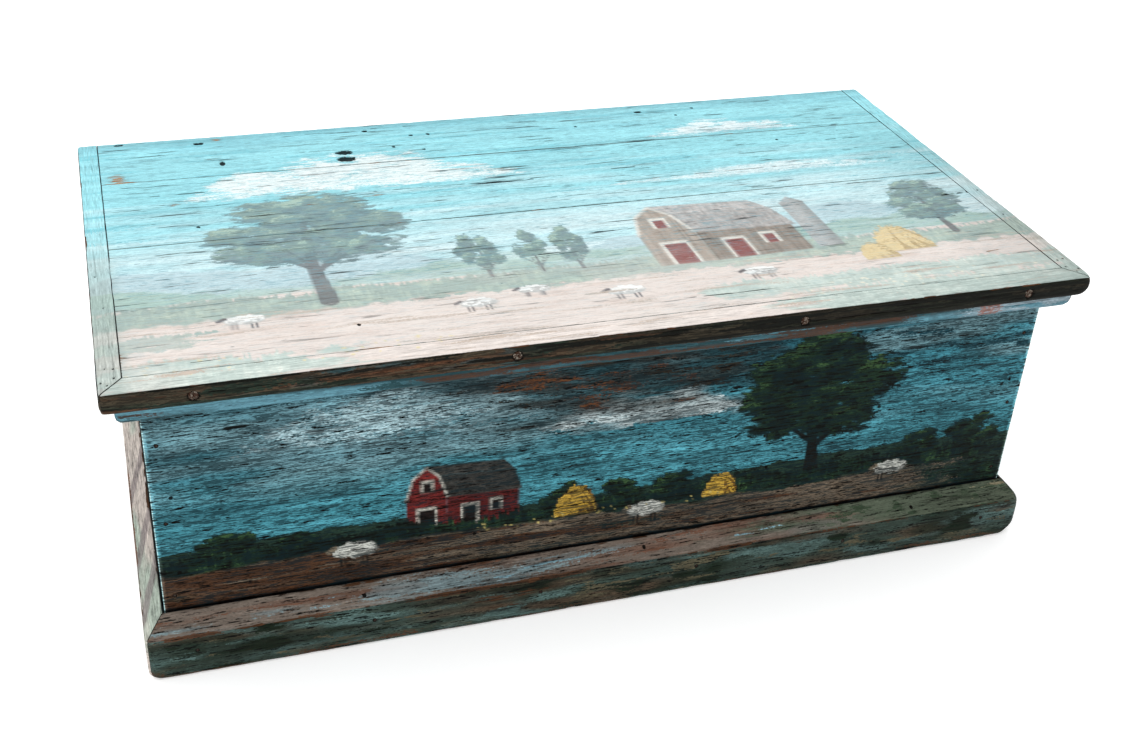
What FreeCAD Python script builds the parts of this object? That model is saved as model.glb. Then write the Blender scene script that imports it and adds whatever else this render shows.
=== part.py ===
"""A small painted blanket chest: a nailed board case on a mitred, bevelled plinth, with a hinged lid.

Frame: +X to the right, +Y to the back, +Z up, millimetres. The origin lies on the floor, under the
middle of the whole chest, hinge knuckles included.
"""
import FreeCAD, Part

import os

import Sketcher

Vector = FreeCAD.Vector
UP, DOWN = Vector(0, 0, 1), Vector(0, 0, -1)
RIGHTWARDS, LEFTWARDS = Vector(1, 0, 0), Vector(-1, 0, 0)
BACKWARDS, FORWARDS = Vector(0, 1, 0), Vector(0, -1, 0)

# Each row is one driving size of the chest: its alias on the sheet, its value and what it measures.
SIZES = (
    ("overall_height", 330.0, "floor to the lid's top"),
    ("lid_length", 960.0, "lid, left to right"),
    ("lid_depth", 523.0, "lid, front to back"),
    ("lid_thickness", 22.0, "lid boards and the edging round them"),
    ("lid_overhang", 31.0, "lid beyond the case at the front and both sides"),
    ("seat_gap", 0.3, "paint's thickness between the closed lid and the case"),
    ("back_plank_width", 107.0, "rear board of the lid"),
    ("middle_plank_width", 152.0, "middle board of the lid"),
    ("plank_joint_chamfer", 0.9, "arris eased along the joints of the lid boards"),
    ("edging_front_width", 25.0, "front edging strip, seen from above"),
    ("edging_side_width", 21.0, "side edging strips, seen from above"),
    ("edging_lower_round", 6.0, "lower outer edge of the edging"),
    ("edging_upper_round", 2.0, "upper outer edge of the edging"),
    ("lip_setback", 11.5, "lip's outer face behind the edging's"),
    ("lip_clearance", 1.5, "lip to the case"),
    ("lip_drop", 20.0, "lip's height below the lid"),
    ("lip_round", 12.0, "lower outer edge of the lip"),
    ("batten_width", 62.0, "lid battens, left to right"),
    ("batten_thickness", 20.0, "lid battens, down from the lid"),
    ("batten_inset", 250.0, "lid's end to the middle of a batten"),
    ("batten_clearance", 7.0, "batten ends to the case walls"),
    ("batten_end_bevel", 9.0, "bevel on the lower end of a batten"),
    ("wall_thickness", 22.0, "four case boards"),
    ("corner_round", 1.6, "upright outer corners of the case"),
    ("bottom_rise", 30.0, "floor to the bottom boards' underside"),
    ("bottom_thickness", 14.0, "bottom boards"),
    ("bottom_joint_gap", 0.8, "shrinkage gap round the bottom boards"),
    ("cleat_width", 20.0, "cleats under the bottom boards, out from the wall"),
    ("cleat_height", 24.0, "cleats under the bottom boards"),
    ("plinth_projection", 21.5, "plinth's outer face beyond the case"),
    ("plinth_height", 66.0, "plinth"),
    ("plinth_bevel_run", 18.5, "bevel on top of the plinth, inwards"),
    ("plinth_bevel_drop", 18.5, "bevel on top of the plinth, downwards"),
    ("plinth_back_chamfer", 2.2, "open groove along the plinth's top, against the case"),
    ("plinth_outer_round", 3.5, "arris under the plinth's bevel"),
    ("plinth_foot_round", 3.0, "plinth's worn lower edge"),
    ("hinge_inset", 180.0, "lid's end to the middle of a hinge"),
    ("hinge_length", 64.0, "hinge leaf, left to right"),
    ("leaf_width", 18.0, "hinge leaf, in from the chest's back"),
    ("leaf_thickness", 2.0, "hinge leaf, let in flush"),
    ("leaf_fit", 0.3, "leaf to the end of its recess"),
    ("knuckle_radius", 3.6, "hinge barrel"),
    ("knuckle_back_gap", 0.3, "hinge barrel to the chest's back"),
    ("knuckle_end_gap", 0.3, "one knuckle to the next"),
    ("pin_radius", 1.6, "hinge pin"),
    ("pin_running_clearance", 0.06, "pin to its bore, all round"),
    ("leaf_hole_radius", 1.9, "narrow end of the countersunk holes in a hinge leaf"),
    ("leaf_hole_spacing", 36.0, "screw holes along a hinge leaf"),
    ("hinge_screw_length", 16.0, "hinge screws"),
    ("hinge_screw_radius", 1.7, "hinge screws' shank"),
    ("hinge_screw_head_radius", 3.6, "hinge screws' countersunk head"),
    ("edge_screw_head_radius", 4.5, "round-headed screws in the edging"),
    ("edge_screw_head_height", 2.2, "round-headed screws in the edging"),
    ("edge_screw_radius", 2.2, "round-headed screws' shank"),
    ("edge_screw_length", 48.0, "round-headed screws"),
    ("edge_screw_sink", 2.5, "depth of the recess round a screw's head"),
    ("edge_screw_rim", 0.9, "recess beyond a screw's head, all round"),
    ("screw_slot_width", 1.1, "slot in a screw's head"),
    ("screw_slot_depth", 1.0, "slot in a screw's head"),
    ("nail_head_width", 5.0, "cut nails' square heads"),
    ("nail_head_height", 1.4, "cut nails' square heads"),
    ("nail_width", 2.8, "cut nails' shank under the head"),
    ("nail_tip_width", 1.0, "cut nails' blunt tip"),
    ("nail_length", 46.0, "nails through the case boards"),
    ("plinth_nail_length", 38.0, "nails through the plinth"),
    ("lip_nail_length", 34.0, "nails up through the lip"),
    ("cleat_nail_length", 36.0, "nails through the cleats"),
    ("bottom_nail_length", 30.0, "nails through the bottom boards"),
    ("mitre_nail_length", 28.0, "nails across the edging's mitres"),
    ("batten_nail_length", 36.0, "nails through the battens"),
    ("overrun", 5.0, "how far every cutting shape reaches past what it cuts"),
)

# Shares of half the lid's length at which the screws stand along the front edging.
FRONT_SCREW_SHARES = (-0.84, -0.25, 0.34, 0.85)
# Shares of the width of the lid's front board, and of its rear board, at which the side screws stand.
FRONT_PLANK_SCREW_SHARE = 0.333
BACK_PLANK_SCREW_SHARE = 0.12
# Shares of the case's height at which the nails stand up each corner.
CORNER_NAIL_SHARES = (0.08, 0.265, 0.54, 0.82)
# Shares of the run of a plinth piece, or of a lip piece, at which its nails stand.
FRONT_RUN_SHARES = (0.05, 0.23, 0.41, 0.59, 0.77, 0.95)
SIDE_RUN_SHARES = (0.15, 0.5, 0.88)
# Shares of the run of a front or rear cleat at which its nails stand.
CLEAT_RUN_SHARES = (0.06, 0.35, 0.65, 0.94)
# Shares of a board's width at which a pair of nails stands.
PAIR_SHARES = (0.25, 0.75)
# Share of the plinth's upright face at which its nails stand.
PLINTH_NAIL_HEIGHT_SHARE = 0.62
# The bottom is three boards of these shares of the case's inner depth.
BOTTOM_BOARD_SHARES = (("front", 0.0, 0.36), ("middle", 0.36, 0.68), ("back", 0.68, 1.0))
# Shares of its width that a nail's head, and a round-headed screw's, keeps at the top.
NAIL_CROWN_SHARE = 0.7
SCREW_CROWN_SHARE = 0.68
# Share of its length over which a screw tapers to its point.
SCREW_POINT_SHARE = 0.25
KNUCKLE_COUNT = 3
LEAF_HOLES = 2
SHANK_SIDES = 6
NEARNESS = 1e-4

doc = FreeCAD.newDocument("painted_chest")
sheet = doc.addObject("Spreadsheet::Sheet", "sizes")


class Length:
    """A length: its formula on the sheet, which drives the features, and what that comes to."""

    def __init__(self, formula, value):
        self.formula = formula
        self.value = value

    @staticmethod
    def of(other):
        return other if isinstance(other, Length) else Length(repr(other), float(other))

    def joined(self, sign, other, value):
        return Length("(%s %s %s)" % (self.formula, sign, other.formula), value)

    def __add__(self, other):
        other = Length.of(other)
        return self.joined("+", other, self.value + other.value)

    def __sub__(self, other):
        other = Length.of(other)
        return self.joined("-", other, self.value - other.value)

    def __mul__(self, other):
        other = Length.of(other)
        return self.joined("*", other, self.value * other.value)

    def __truediv__(self, other):
        other = Length.of(other)
        return self.joined("/", other, self.value / other.value)

    def __neg__(self):
        return Length("(0 - %s)" % self.formula, -self.value)

    __rmul__ = __mul__


def read_sizes():
    """Fill the sheet, and return every driving size under its alias."""
    lengths = {}
    for row, (alias, value, meaning) in enumerate(SIZES, start=1):
        sheet.set("A%d" % row, meaning)
        sheet.set("B%d" % row, repr(value))
        sheet.setAlias("B%d" % row, alias)
        lengths[alias] = Length("sizes." + alias, value)
    doc.recompute()
    return lengths


class Namespace:
    """The driving sizes as attributes."""

    def __init__(self, lengths):
        self.__dict__.update(lengths)


ZERO = Length("0", 0.0)
S = Namespace(read_sizes())

# Places and sizes that several pieces share.
LEFT = -(S.lid_length / 2)
FRONT = -((S.lid_depth + S.knuckle_back_gap + 2 * S.knuckle_radius) / 2)
BACK = FRONT + S.lid_depth
LID_UNDERSIDE = S.overall_height - S.lid_thickness
CASE_HEIGHT = LID_UNDERSIDE - S.seat_gap
CASE_LEFT = LEFT + S.lid_overhang
CASE_FRONT = FRONT + S.lid_overhang
CASE_LENGTH = S.lid_length - 2 * S.lid_overhang
CASE_DEPTH = S.lid_depth - S.lid_overhang
INNER_LENGTH = CASE_LENGTH - 2 * S.wall_thickness
INNER_DEPTH = CASE_DEPTH - 2 * S.wall_thickness
LIP_DEPTH = S.lid_overhang - S.lip_setback - S.lip_clearance
PLANK_LENGTH = S.lid_length - 2 * S.edging_side_width
FRONT_PLANK_WIDTH = S.lid_depth - S.edging_front_width - S.middle_plank_width - S.back_plank_width
AXIS_BEHIND = S.knuckle_back_gap + S.knuckle_radius
HINGE_REACH = S.lid_length / 2 - S.hinge_inset
BATTEN_REACH = S.lid_length / 2 - S.batten_inset


# Sketches and features

def origin_plane(body, role):
    """Return the body's own origin plane of that role."""
    return next(item for item in body.Origin.OriginFeatures if item.Role == role)


def new_sketch(body, role, name, lift):
    """Attach an empty sketch to an origin plane, lifted off it along the plane's normal."""
    sketch = body.newObject("Sketcher::SketchObject", name)
    sketch.AttachmentSupport = [(origin_plane(body, role), "")]
    sketch.MapMode = "FlatFace"
    sketch.setExpression("AttachmentOffset.Base.z", lift.formula)
    return sketch


def place_point(sketch, kind, geometry, position, length):
    """Tie one coordinate of a point to its length from the sketch's origin."""
    if length is ZERO:
        axis = -2 if kind == "DistanceX" else -1
        sketch.addConstraint(Sketcher.Constraint("PointOnObject", geometry, position, axis))
        return
    number = sketch.addConstraint(
        Sketcher.Constraint(kind, -1, 1, geometry, position, length.value))
    sketch.setExpression("Constraints[%d]" % number, length.formula)


def draw_outlines(body, role, outlines, name, lift=ZERO):
    """Draw closed outlines of straight lines, each corner a pair of lengths from the origin."""
    sketch = new_sketch(body, role, name, lift)
    for corners in outlines:
        first = sketch.GeometryCount
        count = len(corners)
        points = [Vector(across.value, up.value, 0) for across, up in corners]
        for index in range(count):
            sketch.addGeometry(Part.LineSegment(points[index], points[(index + 1) % count]), False)
        for index, (across, up) in enumerate(corners):
            following = first + (index + 1) % count
            sketch.addConstraint(Sketcher.Constraint("Coincident", first + index, 2, following, 1))
            place_point(sketch, "DistanceX", first + index, 1, across)
            place_point(sketch, "DistanceY", first + index, 1, up)
    return sketch


def draw_circles(body, role, circles, name, lift=ZERO):
    """Draw circles, each a centre's two lengths from the origin and a radius."""
    sketch = new_sketch(body, role, name, lift)
    for across, up, radius in circles:
        centre = Vector(across.value, up.value, 0)
        circle = sketch.addGeometry(Part.Circle(centre, Vector(0, 0, 1), radius.value), False)
        place_point(sketch, "DistanceX", circle, 3, across)
        place_point(sketch, "DistanceY", circle, 3, up)
        number = sketch.addConstraint(Sketcher.Constraint("Radius", circle, radius.value))
        sketch.setExpression("Constraints[%d]" % number, radius.formula)
    return sketch


def add_solid(body, kind, sketch, length, backwards=False):
    """Add a Pad or a Pocket of the sketch, along its normal or, backwards, against it."""
    feature = body.newObject("PartDesign::" + kind, kind.lower())
    feature.Profile = sketch
    feature.setExpression("Length", length.formula)
    feature.Reversed = backwards
    return feature


def cut_out(body, sketch, depth, backwards=False):
    """Pocket the sketch, and check that the pocket took something away."""
    before = body.Tip
    doc.recompute()
    pocket = add_solid(body, "Pocket", sketch, depth, backwards)
    doc.recompute()
    if pocket.Shape.Volume > before.Shape.Volume - NEARNESS:
        raise RuntimeError("%s: a pocket cut nothing" % body.Label)
    return pocket


def repeat_along_x(body, features, spacing, count):
    """Repeat features along the body's X axis."""
    pattern = body.newObject("PartDesign::LinearPattern", "repeat")
    pattern.Originals = features
    axis = next(item for item in body.Origin.OriginFeatures if item.Role == "X_Axis")
    pattern.Direction = (axis, [""])
    pattern.setExpression("Length", (spacing * (count - 1)).formula)
    pattern.Occurrences = count
    body.Tip = pattern
    return pattern


def edges_where(shape, test):
    """Name the edges whose two ends both pass the test."""
    names = []
    for number, edge in enumerate(shape.Edges, start=1):
        if len(edge.Vertexes) == 2 and all(test(corner.Point) for corner in edge.Vertexes):
            names.append("Edge%d" % number)
    return names


def dress_edges(body, kind, size, tests):
    """Fillet or chamfer the edges that pass any one of the tests."""
    doc.recompute()
    base = body.Tip
    names = sorted({name for test in tests for name in edges_where(base.Shape, test)})
    feature = body.newObject("PartDesign::" + kind, kind.lower())
    feature.Base = (base, names)
    feature.setExpression("Radius" if kind == "Fillet" else "Size", size.formula)
    return feature


def at(axis, length):
    """Make a test: is the point at that length along the axis?"""
    def test(point):
        return abs(getattr(point, axis) - length.value) < NEARNESS
    return test


def both(first, second):
    """Make a test that two tests pass."""
    def test(point):
        return first(point) and second(point)
    return test


def new_body(label, corner):
    """Start a sub-part: a body whose own origin stands at a corner given in the chest's frame."""
    body = doc.addObject("PartDesign::Body", label)
    body.Label = label
    for axis, length in zip("xyz", corner):
        body.setExpression("Placement.Base." + axis, length.formula)
    return body


def rectangle(low_across, low_up, high_across, high_up):
    """Corners of a rectangle between two opposite corners."""
    return (
        (low_across, low_up),
        (high_across, low_up),
        (high_across, high_up),
        (low_across, high_up),
    )


def board(label, length, depth, height, corner):
    """A plain board: a rectangle seen from above, padded up from its lowest left front corner."""
    body = new_body(label, corner)
    sketch = draw_outlines(body, "XY_Plane", [rectangle(ZERO, ZERO, length, depth)], "plan")
    add_solid(body, "Pad", sketch, height)
    return body


# Mouldings

def moulding_along_x(label, profile, length, corner):
    """A moulding that runs to the right: its profile is drawn as (back, up)."""
    body = new_body(label, corner)
    add_solid(body, "Pad", draw_outlines(body, "YZ_Plane", [profile], "profile"), length)
    return body


def moulding_along_y(label, profile, length, corner, side):
    """A moulding that runs to the back: its profile is drawn as (inwards, up) from the outer face."""
    body = new_body(label, corner)
    turned = [(inwards if inwards is ZERO or side < 0 else -inwards, up) for inwards, up in profile]
    sketch = draw_outlines(body, "XZ_Plane", [turned], "profile")
    add_solid(body, "Pad", sketch, length, backwards=True)
    return body


def mitre_ends(body, length, width, run, height):
    """Mitre both ends of a moulding along X; a mitre goes in by run over the moulding's width."""
    reach = S.overrun * run / width
    near = -S.overrun
    far = width + S.overrun
    left = ((-reach, near), (run + reach, far), (-reach, far))
    right = ((length + reach, near), (length + reach, far), (length - run - reach, far))
    sketch = draw_outlines(body, "XY_Plane", [left, right], "mitres", height + S.overrun)
    cut_out(body, sketch, height + 2 * S.overrun)


def mitre_front(body, width, run, height, side):
    """Mitre the front end of a moulding along Y, on the line that mitre_ends cuts."""
    reach = S.overrun * run / width
    inner = width + S.overrun
    corners = [(-S.overrun, -reach), (inner, run + reach), (inner, -reach)]
    if side > 0:
        corners = [(-across, along) for across, along in corners]
    sketch = draw_outlines(body, "XY_Plane", [corners], "mitre", height + S.overrun)
    cut_out(body, sketch, height + 2 * S.overrun)


# Case

def build_case_walls():
    """Front and back boards run full length and are nailed over the ends of the two end boards."""
    front = board("front_board", CASE_LENGTH, S.wall_thickness, CASE_HEIGHT,
                  (CASE_LEFT, CASE_FRONT, ZERO))
    outer = at("y", ZERO)
    dress_edges(front, "Fillet", S.corner_round,
                [both(outer, at("x", ZERO)), both(outer, at("x", CASE_LENGTH))])

    back = board("back_board", CASE_LENGTH, S.wall_thickness, CASE_HEIGHT,
                 (CASE_LEFT, BACK - S.wall_thickness, ZERO))
    outer = at("y", S.wall_thickness)
    dress_edges(back, "Fillet", S.corner_round,
                [both(outer, at("x", ZERO)), both(outer, at("x", CASE_LENGTH))])
    recesses = [hinge_recess(CASE_LENGTH / 2, S.wall_thickness, side) for side in (-1, 1)]
    sketch = draw_outlines(back, "XY_Plane", recesses, "hinge_recesses", CASE_HEIGHT + S.overrun)
    cut_out(back, sketch, S.leaf_thickness + S.overrun)

    inside = CASE_FRONT + S.wall_thickness
    right = CASE_LEFT + CASE_LENGTH - S.wall_thickness
    for label, left in (("left_end_board", CASE_LEFT), ("right_end_board", right)):
        board(label, S.wall_thickness, INNER_DEPTH, CASE_HEIGHT, (left, inside, ZERO))


def hinge_recess(middle, back, side):
    """Outline of the recess that one hinge leaf is let into, open at the back."""
    half = S.hinge_length / 2 + S.leaf_fit
    centre = middle + side * HINGE_REACH
    return rectangle(centre - half, back - S.leaf_width - S.leaf_fit, centre + half, back + S.overrun)


def build_bottom():
    """Three loose-fitted boards lie on four cleats that are nailed round the inside of the case."""
    left = CASE_LEFT + S.wall_thickness
    inside = CASE_FRONT + S.wall_thickness
    cleat_base = S.bottom_rise - S.cleat_height
    far_wall = inside + INNER_DEPTH - S.cleat_width
    for label, start in (("bottom_cleat_front", inside), ("bottom_cleat_back", far_wall)):
        cleat = board(label, INNER_LENGTH, S.cleat_width, S.cleat_height, (left, start, cleat_base))
        inner_face = at("y", S.cleat_width if start is inside else ZERO)
        dress_edges(cleat, "Chamfer", S.corner_round, [both(inner_face, at("z", ZERO))])

    short_depth = INNER_DEPTH - 2 * S.cleat_width
    right = left + INNER_LENGTH - S.cleat_width
    for label, start in (("bottom_cleat_left", left), ("bottom_cleat_right", right)):
        cleat = board(label, S.cleat_width, short_depth, S.cleat_height,
                      (start, inside + S.cleat_width, cleat_base))
        inner_face = at("x", S.cleat_width if start is left else ZERO)
        dress_edges(cleat, "Chamfer", S.corner_round, [both(inner_face, at("z", ZERO))])

    for name, low, high in BOTTOM_BOARD_SHARES:
        body = board("bottom_board_" + name, INNER_LENGTH - 2 * S.bottom_joint_gap,
                     (high - low) * INNER_DEPTH - S.bottom_joint_gap, S.bottom_thickness,
                     (left + S.bottom_joint_gap, inside + low * INNER_DEPTH + S.bottom_joint_gap / 2,
                      S.bottom_rise))
        dress_edges(body, "Chamfer", S.plank_joint_chamfer,
                    [both(at("z", S.bottom_thickness), at("y", ZERO))])


def plinth_profile():
    """Upright outer face, a bevel up to the case, and a small groove left open behind the bevel."""
    inner = S.plinth_projection
    top = S.plinth_height
    return (
        (ZERO, ZERO),
        (inner, ZERO),
        (inner, top - S.plinth_back_chamfer),
        (inner - S.plinth_back_chamfer, top),
        (S.plinth_bevel_run, top),
        (ZERO, top - S.plinth_bevel_drop),
    )


def build_plinth():
    """Three bevelled boards round the foot of the case, mitred at the two front corners."""
    width = S.plinth_projection
    height = S.plinth_height
    arris = at("z", height - S.plinth_bevel_drop)
    foot = at("z", ZERO)
    left = CASE_LEFT - width
    front_length = CASE_LENGTH + 2 * width
    start = CASE_FRONT - width

    front = moulding_along_x("plinth_front", plinth_profile(), front_length, (left, start, ZERO))
    outer = at("y", ZERO)
    dress_edges(front, "Fillet", S.plinth_outer_round, [both(outer, arris)])
    dress_edges(front, "Fillet", S.plinth_foot_round, [both(outer, foot)])
    mitre_ends(front, front_length, width, width, height)

    for label, corner, side in (("plinth_left", left, -1), ("plinth_right", left + front_length, 1)):
        piece = moulding_along_y(label, plinth_profile(), CASE_DEPTH + width,
                                 (corner, start, ZERO), side)
        outer = at("x", ZERO)
        dress_edges(piece, "Fillet", S.plinth_outer_round, [both(outer, arris)])
        dress_edges(piece, "Fillet", S.plinth_foot_round, [both(outer, foot)])
        mitre_front(piece, width, width, height, side)


# Lid

def build_lid_planks():
    """Three boards along the lid; the rear one is recessed below for the hinge leaves."""
    left = LEFT + S.edging_side_width
    start = FRONT + S.edging_front_width
    rows = (
        ("lid_board_front", start, FRONT_PLANK_WIDTH),
        ("lid_board_middle", start + FRONT_PLANK_WIDTH, S.middle_plank_width),
        ("lid_board_back", BACK - S.back_plank_width, S.back_plank_width),
    )
    for label, near, width in rows:
        body = board(label, PLANK_LENGTH, width, S.lid_thickness, (left, near, LID_UNDERSIDE))
        top = at("z", S.lid_thickness)
        joints = [both(top, at("y", ZERO))]
        if label != "lid_board_back":
            joints.append(both(top, at("y", width)))
        dress_edges(body, "Chamfer", S.plank_joint_chamfer, joints)
        if label == "lid_board_back":
            recesses = [hinge_recess(PLANK_LENGTH / 2, width, side) for side in (-1, 1)]
            sketch = draw_outlines(body, "XY_Plane", recesses, "hinge_recesses", -S.overrun)
            cut_out(body, sketch, S.leaf_thickness + S.overrun, backwards=True)


def build_edging():
    """Strips round three sides of the lid, mitred at the front, rounded and screwed on."""
    height = S.lid_thickness
    top = at("z", height)
    foot = at("z", ZERO)

    front = moulding_along_x(
        "lid_edging_front", rectangle(ZERO, ZERO, S.edging_front_width, height), S.lid_length,
        (LEFT, FRONT, LID_UNDERSIDE))
    outer = at("y", ZERO)
    dress_edges(front, "Fillet", S.edging_lower_round, [both(outer, foot)])
    dress_edges(front, "Fillet", S.edging_upper_round, [both(outer, top)])
    mitre_ends(front, S.lid_length, S.edging_front_width, S.edging_side_width, height)
    recess = S.edge_screw_head_radius + S.edge_screw_rim
    circles = [(S.lid_length / 2 * (1 + share), height / 2, recess) for share in FRONT_SCREW_SHARES]
    sketch = draw_circles(front, "XZ_Plane", circles, "screw_recesses", S.overrun)
    cut_out(front, sketch, S.edge_screw_sink + S.overrun)

    for label, corner, side in (("lid_edging_left", LEFT, -1), ("lid_edging_right", -LEFT, 1)):
        piece = moulding_along_y(
            label, rectangle(ZERO, ZERO, S.edging_side_width, height), S.lid_depth,
            (corner, FRONT, LID_UNDERSIDE), side)
        outer = at("x", ZERO)
        dress_edges(piece, "Fillet", S.edging_lower_round, [both(outer, foot)])
        dress_edges(piece, "Fillet", S.edging_upper_round, [both(outer, top)])
        mitre_front(piece, S.edging_side_width, S.edging_front_width, height, side)
        circles = [(along, height / 2, recess) for along in side_screw_places()]
        lift = S.overrun if side > 0 else -S.overrun
        sketch = draw_circles(piece, "YZ_Plane", circles, "screw_recesses", lift)
        cut_out(piece, sketch, S.edge_screw_sink + S.overrun, backwards=side < 0)


def side_screw_places():
    """Distances of the side screws from the lid's front: one in the front board, one in the rear."""
    front = S.edging_front_width + FRONT_PLANK_WIDTH * FRONT_PLANK_SCREW_SHARE
    back = S.lid_depth - S.back_plank_width * (1 - BACK_PLANK_SCREW_SHARE)
    return [front, back]


def build_lip():
    """A rounded moulding under the edging: it laps the case and keeps the dust out."""
    foot = at("z", ZERO)
    profile = rectangle(ZERO, ZERO, LIP_DEPTH, S.lip_drop)
    left = LEFT + S.lip_setback
    start = FRONT + S.lip_setback
    base = LID_UNDERSIDE - S.lip_drop
    front_length = S.lid_length - 2 * S.lip_setback

    front = moulding_along_x("lid_lip_front", profile, front_length, (left, start, base))
    dress_edges(front, "Fillet", S.lip_round, [both(at("y", ZERO), foot)])
    mitre_ends(front, front_length, LIP_DEPTH, LIP_DEPTH, S.lip_drop)

    for label, corner, side in (("lid_lip_left", left, -1), ("lid_lip_right", -left, 1)):
        piece = moulding_along_y(label, profile, S.lid_depth - S.lip_setback,
                                 (corner, start, base), side)
        dress_edges(piece, "Fillet", S.lip_round, [both(at("x", ZERO), foot)])
        mitre_front(piece, LIP_DEPTH, LIP_DEPTH, S.lip_drop, side)


def build_battens():
    """Two battens across the boards, inside the case, with bevelled ends."""
    length = INNER_DEPTH - 2 * S.batten_clearance
    start = CASE_FRONT + S.wall_thickness + S.batten_clearance
    for label, side in (("lid_batten_left", -1), ("lid_batten_right", 1)):
        left = side * BATTEN_REACH - S.batten_width / 2
        body = board(label, S.batten_width, length, S.batten_thickness,
                     (left, start, LID_UNDERSIDE - S.batten_thickness))
        under = at("z", ZERO)
        dress_edges(body, "Chamfer", S.batten_end_bevel,
                    [both(under, at("y", ZERO)), both(under, at("y", length))])


# Hinges

def hinge_leaf(label, side, above):
    """One leaf of a butt hinge: a let-in plate, tongues out to its own knuckles, bore and holes.

    The body's origin is at the leaf's left end, on the chest's back face, at the height of the pin.
    The knuckles of the two leaves alternate along the barrel; the lower leaf has the outer ones.
    """
    left = side * HINGE_REACH - S.hinge_length / 2
    pin_height = CASE_HEIGHT + S.seat_gap / 2
    body = new_body(label, (left, BACK, pin_height))
    face = S.seat_gap / 2 if above else -(S.seat_gap / 2) - S.leaf_thickness
    plan = rectangle(ZERO, -S.leaf_width, S.hinge_length, ZERO)
    add_solid(body, "Pad", draw_outlines(body, "XY_Plane", [plan], "plate", face), S.leaf_thickness)

    pitch = S.hinge_length / KNUCKLE_COUNT
    first = 1 if above else 0
    count = len(range(first, KNUCKLE_COUNT, 2))
    begin = pitch * first + S.knuckle_end_gap / 2
    width = pitch - S.knuckle_end_gap
    barrel = draw_circles(body, "YZ_Plane", [(AXIS_BEHIND, ZERO, S.knuckle_radius)], "barrel", begin)
    knuckle = add_solid(body, "Pad", barrel, width)
    tongue_plan = rectangle(begin, -(S.leaf_width / 2), begin + width, AXIS_BEHIND)
    tongue_sketch = draw_outlines(body, "XY_Plane", [tongue_plan], "tongue", face)
    tongue = add_solid(body, "Pad", tongue_sketch, S.leaf_thickness)
    if count > 1:
        repeat_along_x(body, [knuckle, tongue], 2 * pitch, count)

    bore = S.pin_radius + S.pin_running_clearance
    sketch = draw_circles(body, "YZ_Plane", [(AXIS_BEHIND, ZERO, bore)], "bore", -S.overrun)
    cut_out(body, sketch, S.hinge_length + 2 * S.overrun, backwards=True)

    hole = body.newObject("PartDesign::SubtractiveCone", "countersunk_hole")
    hole.AttachmentSupport = [(origin_plane(body, "XY_Plane"), "")]
    hole.MapMode = "FlatFace"
    place = (leaf_hole_places()[0], -(S.leaf_width / 2), face)
    for axis, length in zip("xyz", place):
        hole.setExpression("AttachmentOffset.Base." + axis, length.formula)
    wide = S.leaf_hole_radius + S.leaf_thickness
    ends = (wide, S.leaf_hole_radius) if above else (S.leaf_hole_radius, wide)
    hole.setExpression("Radius1", ends[0].formula)
    hole.setExpression("Radius2", ends[1].formula)
    hole.setExpression("Height", S.leaf_thickness.formula)
    repeat_along_x(body, [hole], S.leaf_hole_spacing, LEAF_HOLES)
    return body


def leaf_hole_places():
    """Distances of the screw holes from the leaf's left end."""
    middle = S.hinge_length / 2
    return [middle + S.leaf_hole_spacing * (number - (LEAF_HOLES - 1) / 2)
            for number in range(LEAF_HOLES)]


def hinge_pin(label, side):
    """A plain pin through the whole barrel, its ends flush with the outer knuckles."""
    left = side * HINGE_REACH - S.hinge_length / 2 + S.knuckle_end_gap / 2
    pin = doc.addObject("Part::Cylinder", label)
    pin.Label = label
    pin.setExpression("Radius", S.pin_radius.formula)
    pin.setExpression("Height", (S.hinge_length - S.knuckle_end_gap).formula)
    pin.Placement = FreeCAD.Placement(Vector(0, 0, 0), FreeCAD.Rotation(DOWN, LEFTWARDS))
    place = (left, BACK + AXIS_BEHIND, CASE_HEIGHT + S.seat_gap / 2)
    for axis, length in zip("xyz", place):
        pin.setExpression("Placement.Base." + axis, length.formula)


def build_hinges():
    """Two butt hinges, let into the back board's top edge and the lid's underside."""
    for name, side in (("left", -1), ("right", 1)):
        hinge_leaf("hinge_%s_case_leaf" % name, side, above=False)
        hinge_leaf("hinge_%s_lid_leaf" % name, side, above=True)
        hinge_pin("hinge_%s_pin" % name, side)


# Nails and screws

def nail(length):
    """A cut nail with its head's top at the origin and its point below: all its sections are square."""
    head = S.nail_head_width.value / 2
    crown = head * NAIL_CROWN_SHARE
    neck = S.nail_width.value / 2
    tip = S.nail_tip_width.value / 2
    rise = S.nail_head_height.value
    end = length.value
    top = Part.makeWedge(-head, -rise, -head, -crown, -crown, head, 0, head, crown, crown)
    shank = Part.makeWedge(-tip, -end, -tip, -neck, -neck, tip, -rise, tip, neck, neck)
    solid = top.fuse(shank).removeSplitter()
    solid.rotate(Vector(0, 0, 0), RIGHTWARDS, 90)
    return solid.Solids[0]


def screw_head(corners, length):
    """Turn a head's half profile of (radius, height) about Z, and fit a tapered shank and a slot.

    The shank has flat sides in place of its thread; it lies inside the wood.
    """
    points = [Vector(radius, 0, height) for radius, height in corners]
    neck, seat = corners[-2]
    face = Part.Face(Part.makePolygon(points + points[:1]))
    solid = face.revolve(Vector(0, 0, 0), UP, 360)
    shoulder = -length * (1 - SCREW_POINT_SHARE)
    solid = solid.fuse(flat_sided_solid((
        shank_ring(neck, seat), shank_ring(neck, shoulder), shank_ring(neck / 2, -length))))
    width = S.screw_slot_width.value
    depth = S.screw_slot_depth.value
    past = S.overrun.value
    reach = corners[1][0] + past
    slot = Part.makeBox(2 * reach, width, depth + past, Vector(-reach, -width / 2, -depth))
    return solid.cut(slot).removeSplitter().Solids[0]


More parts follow.
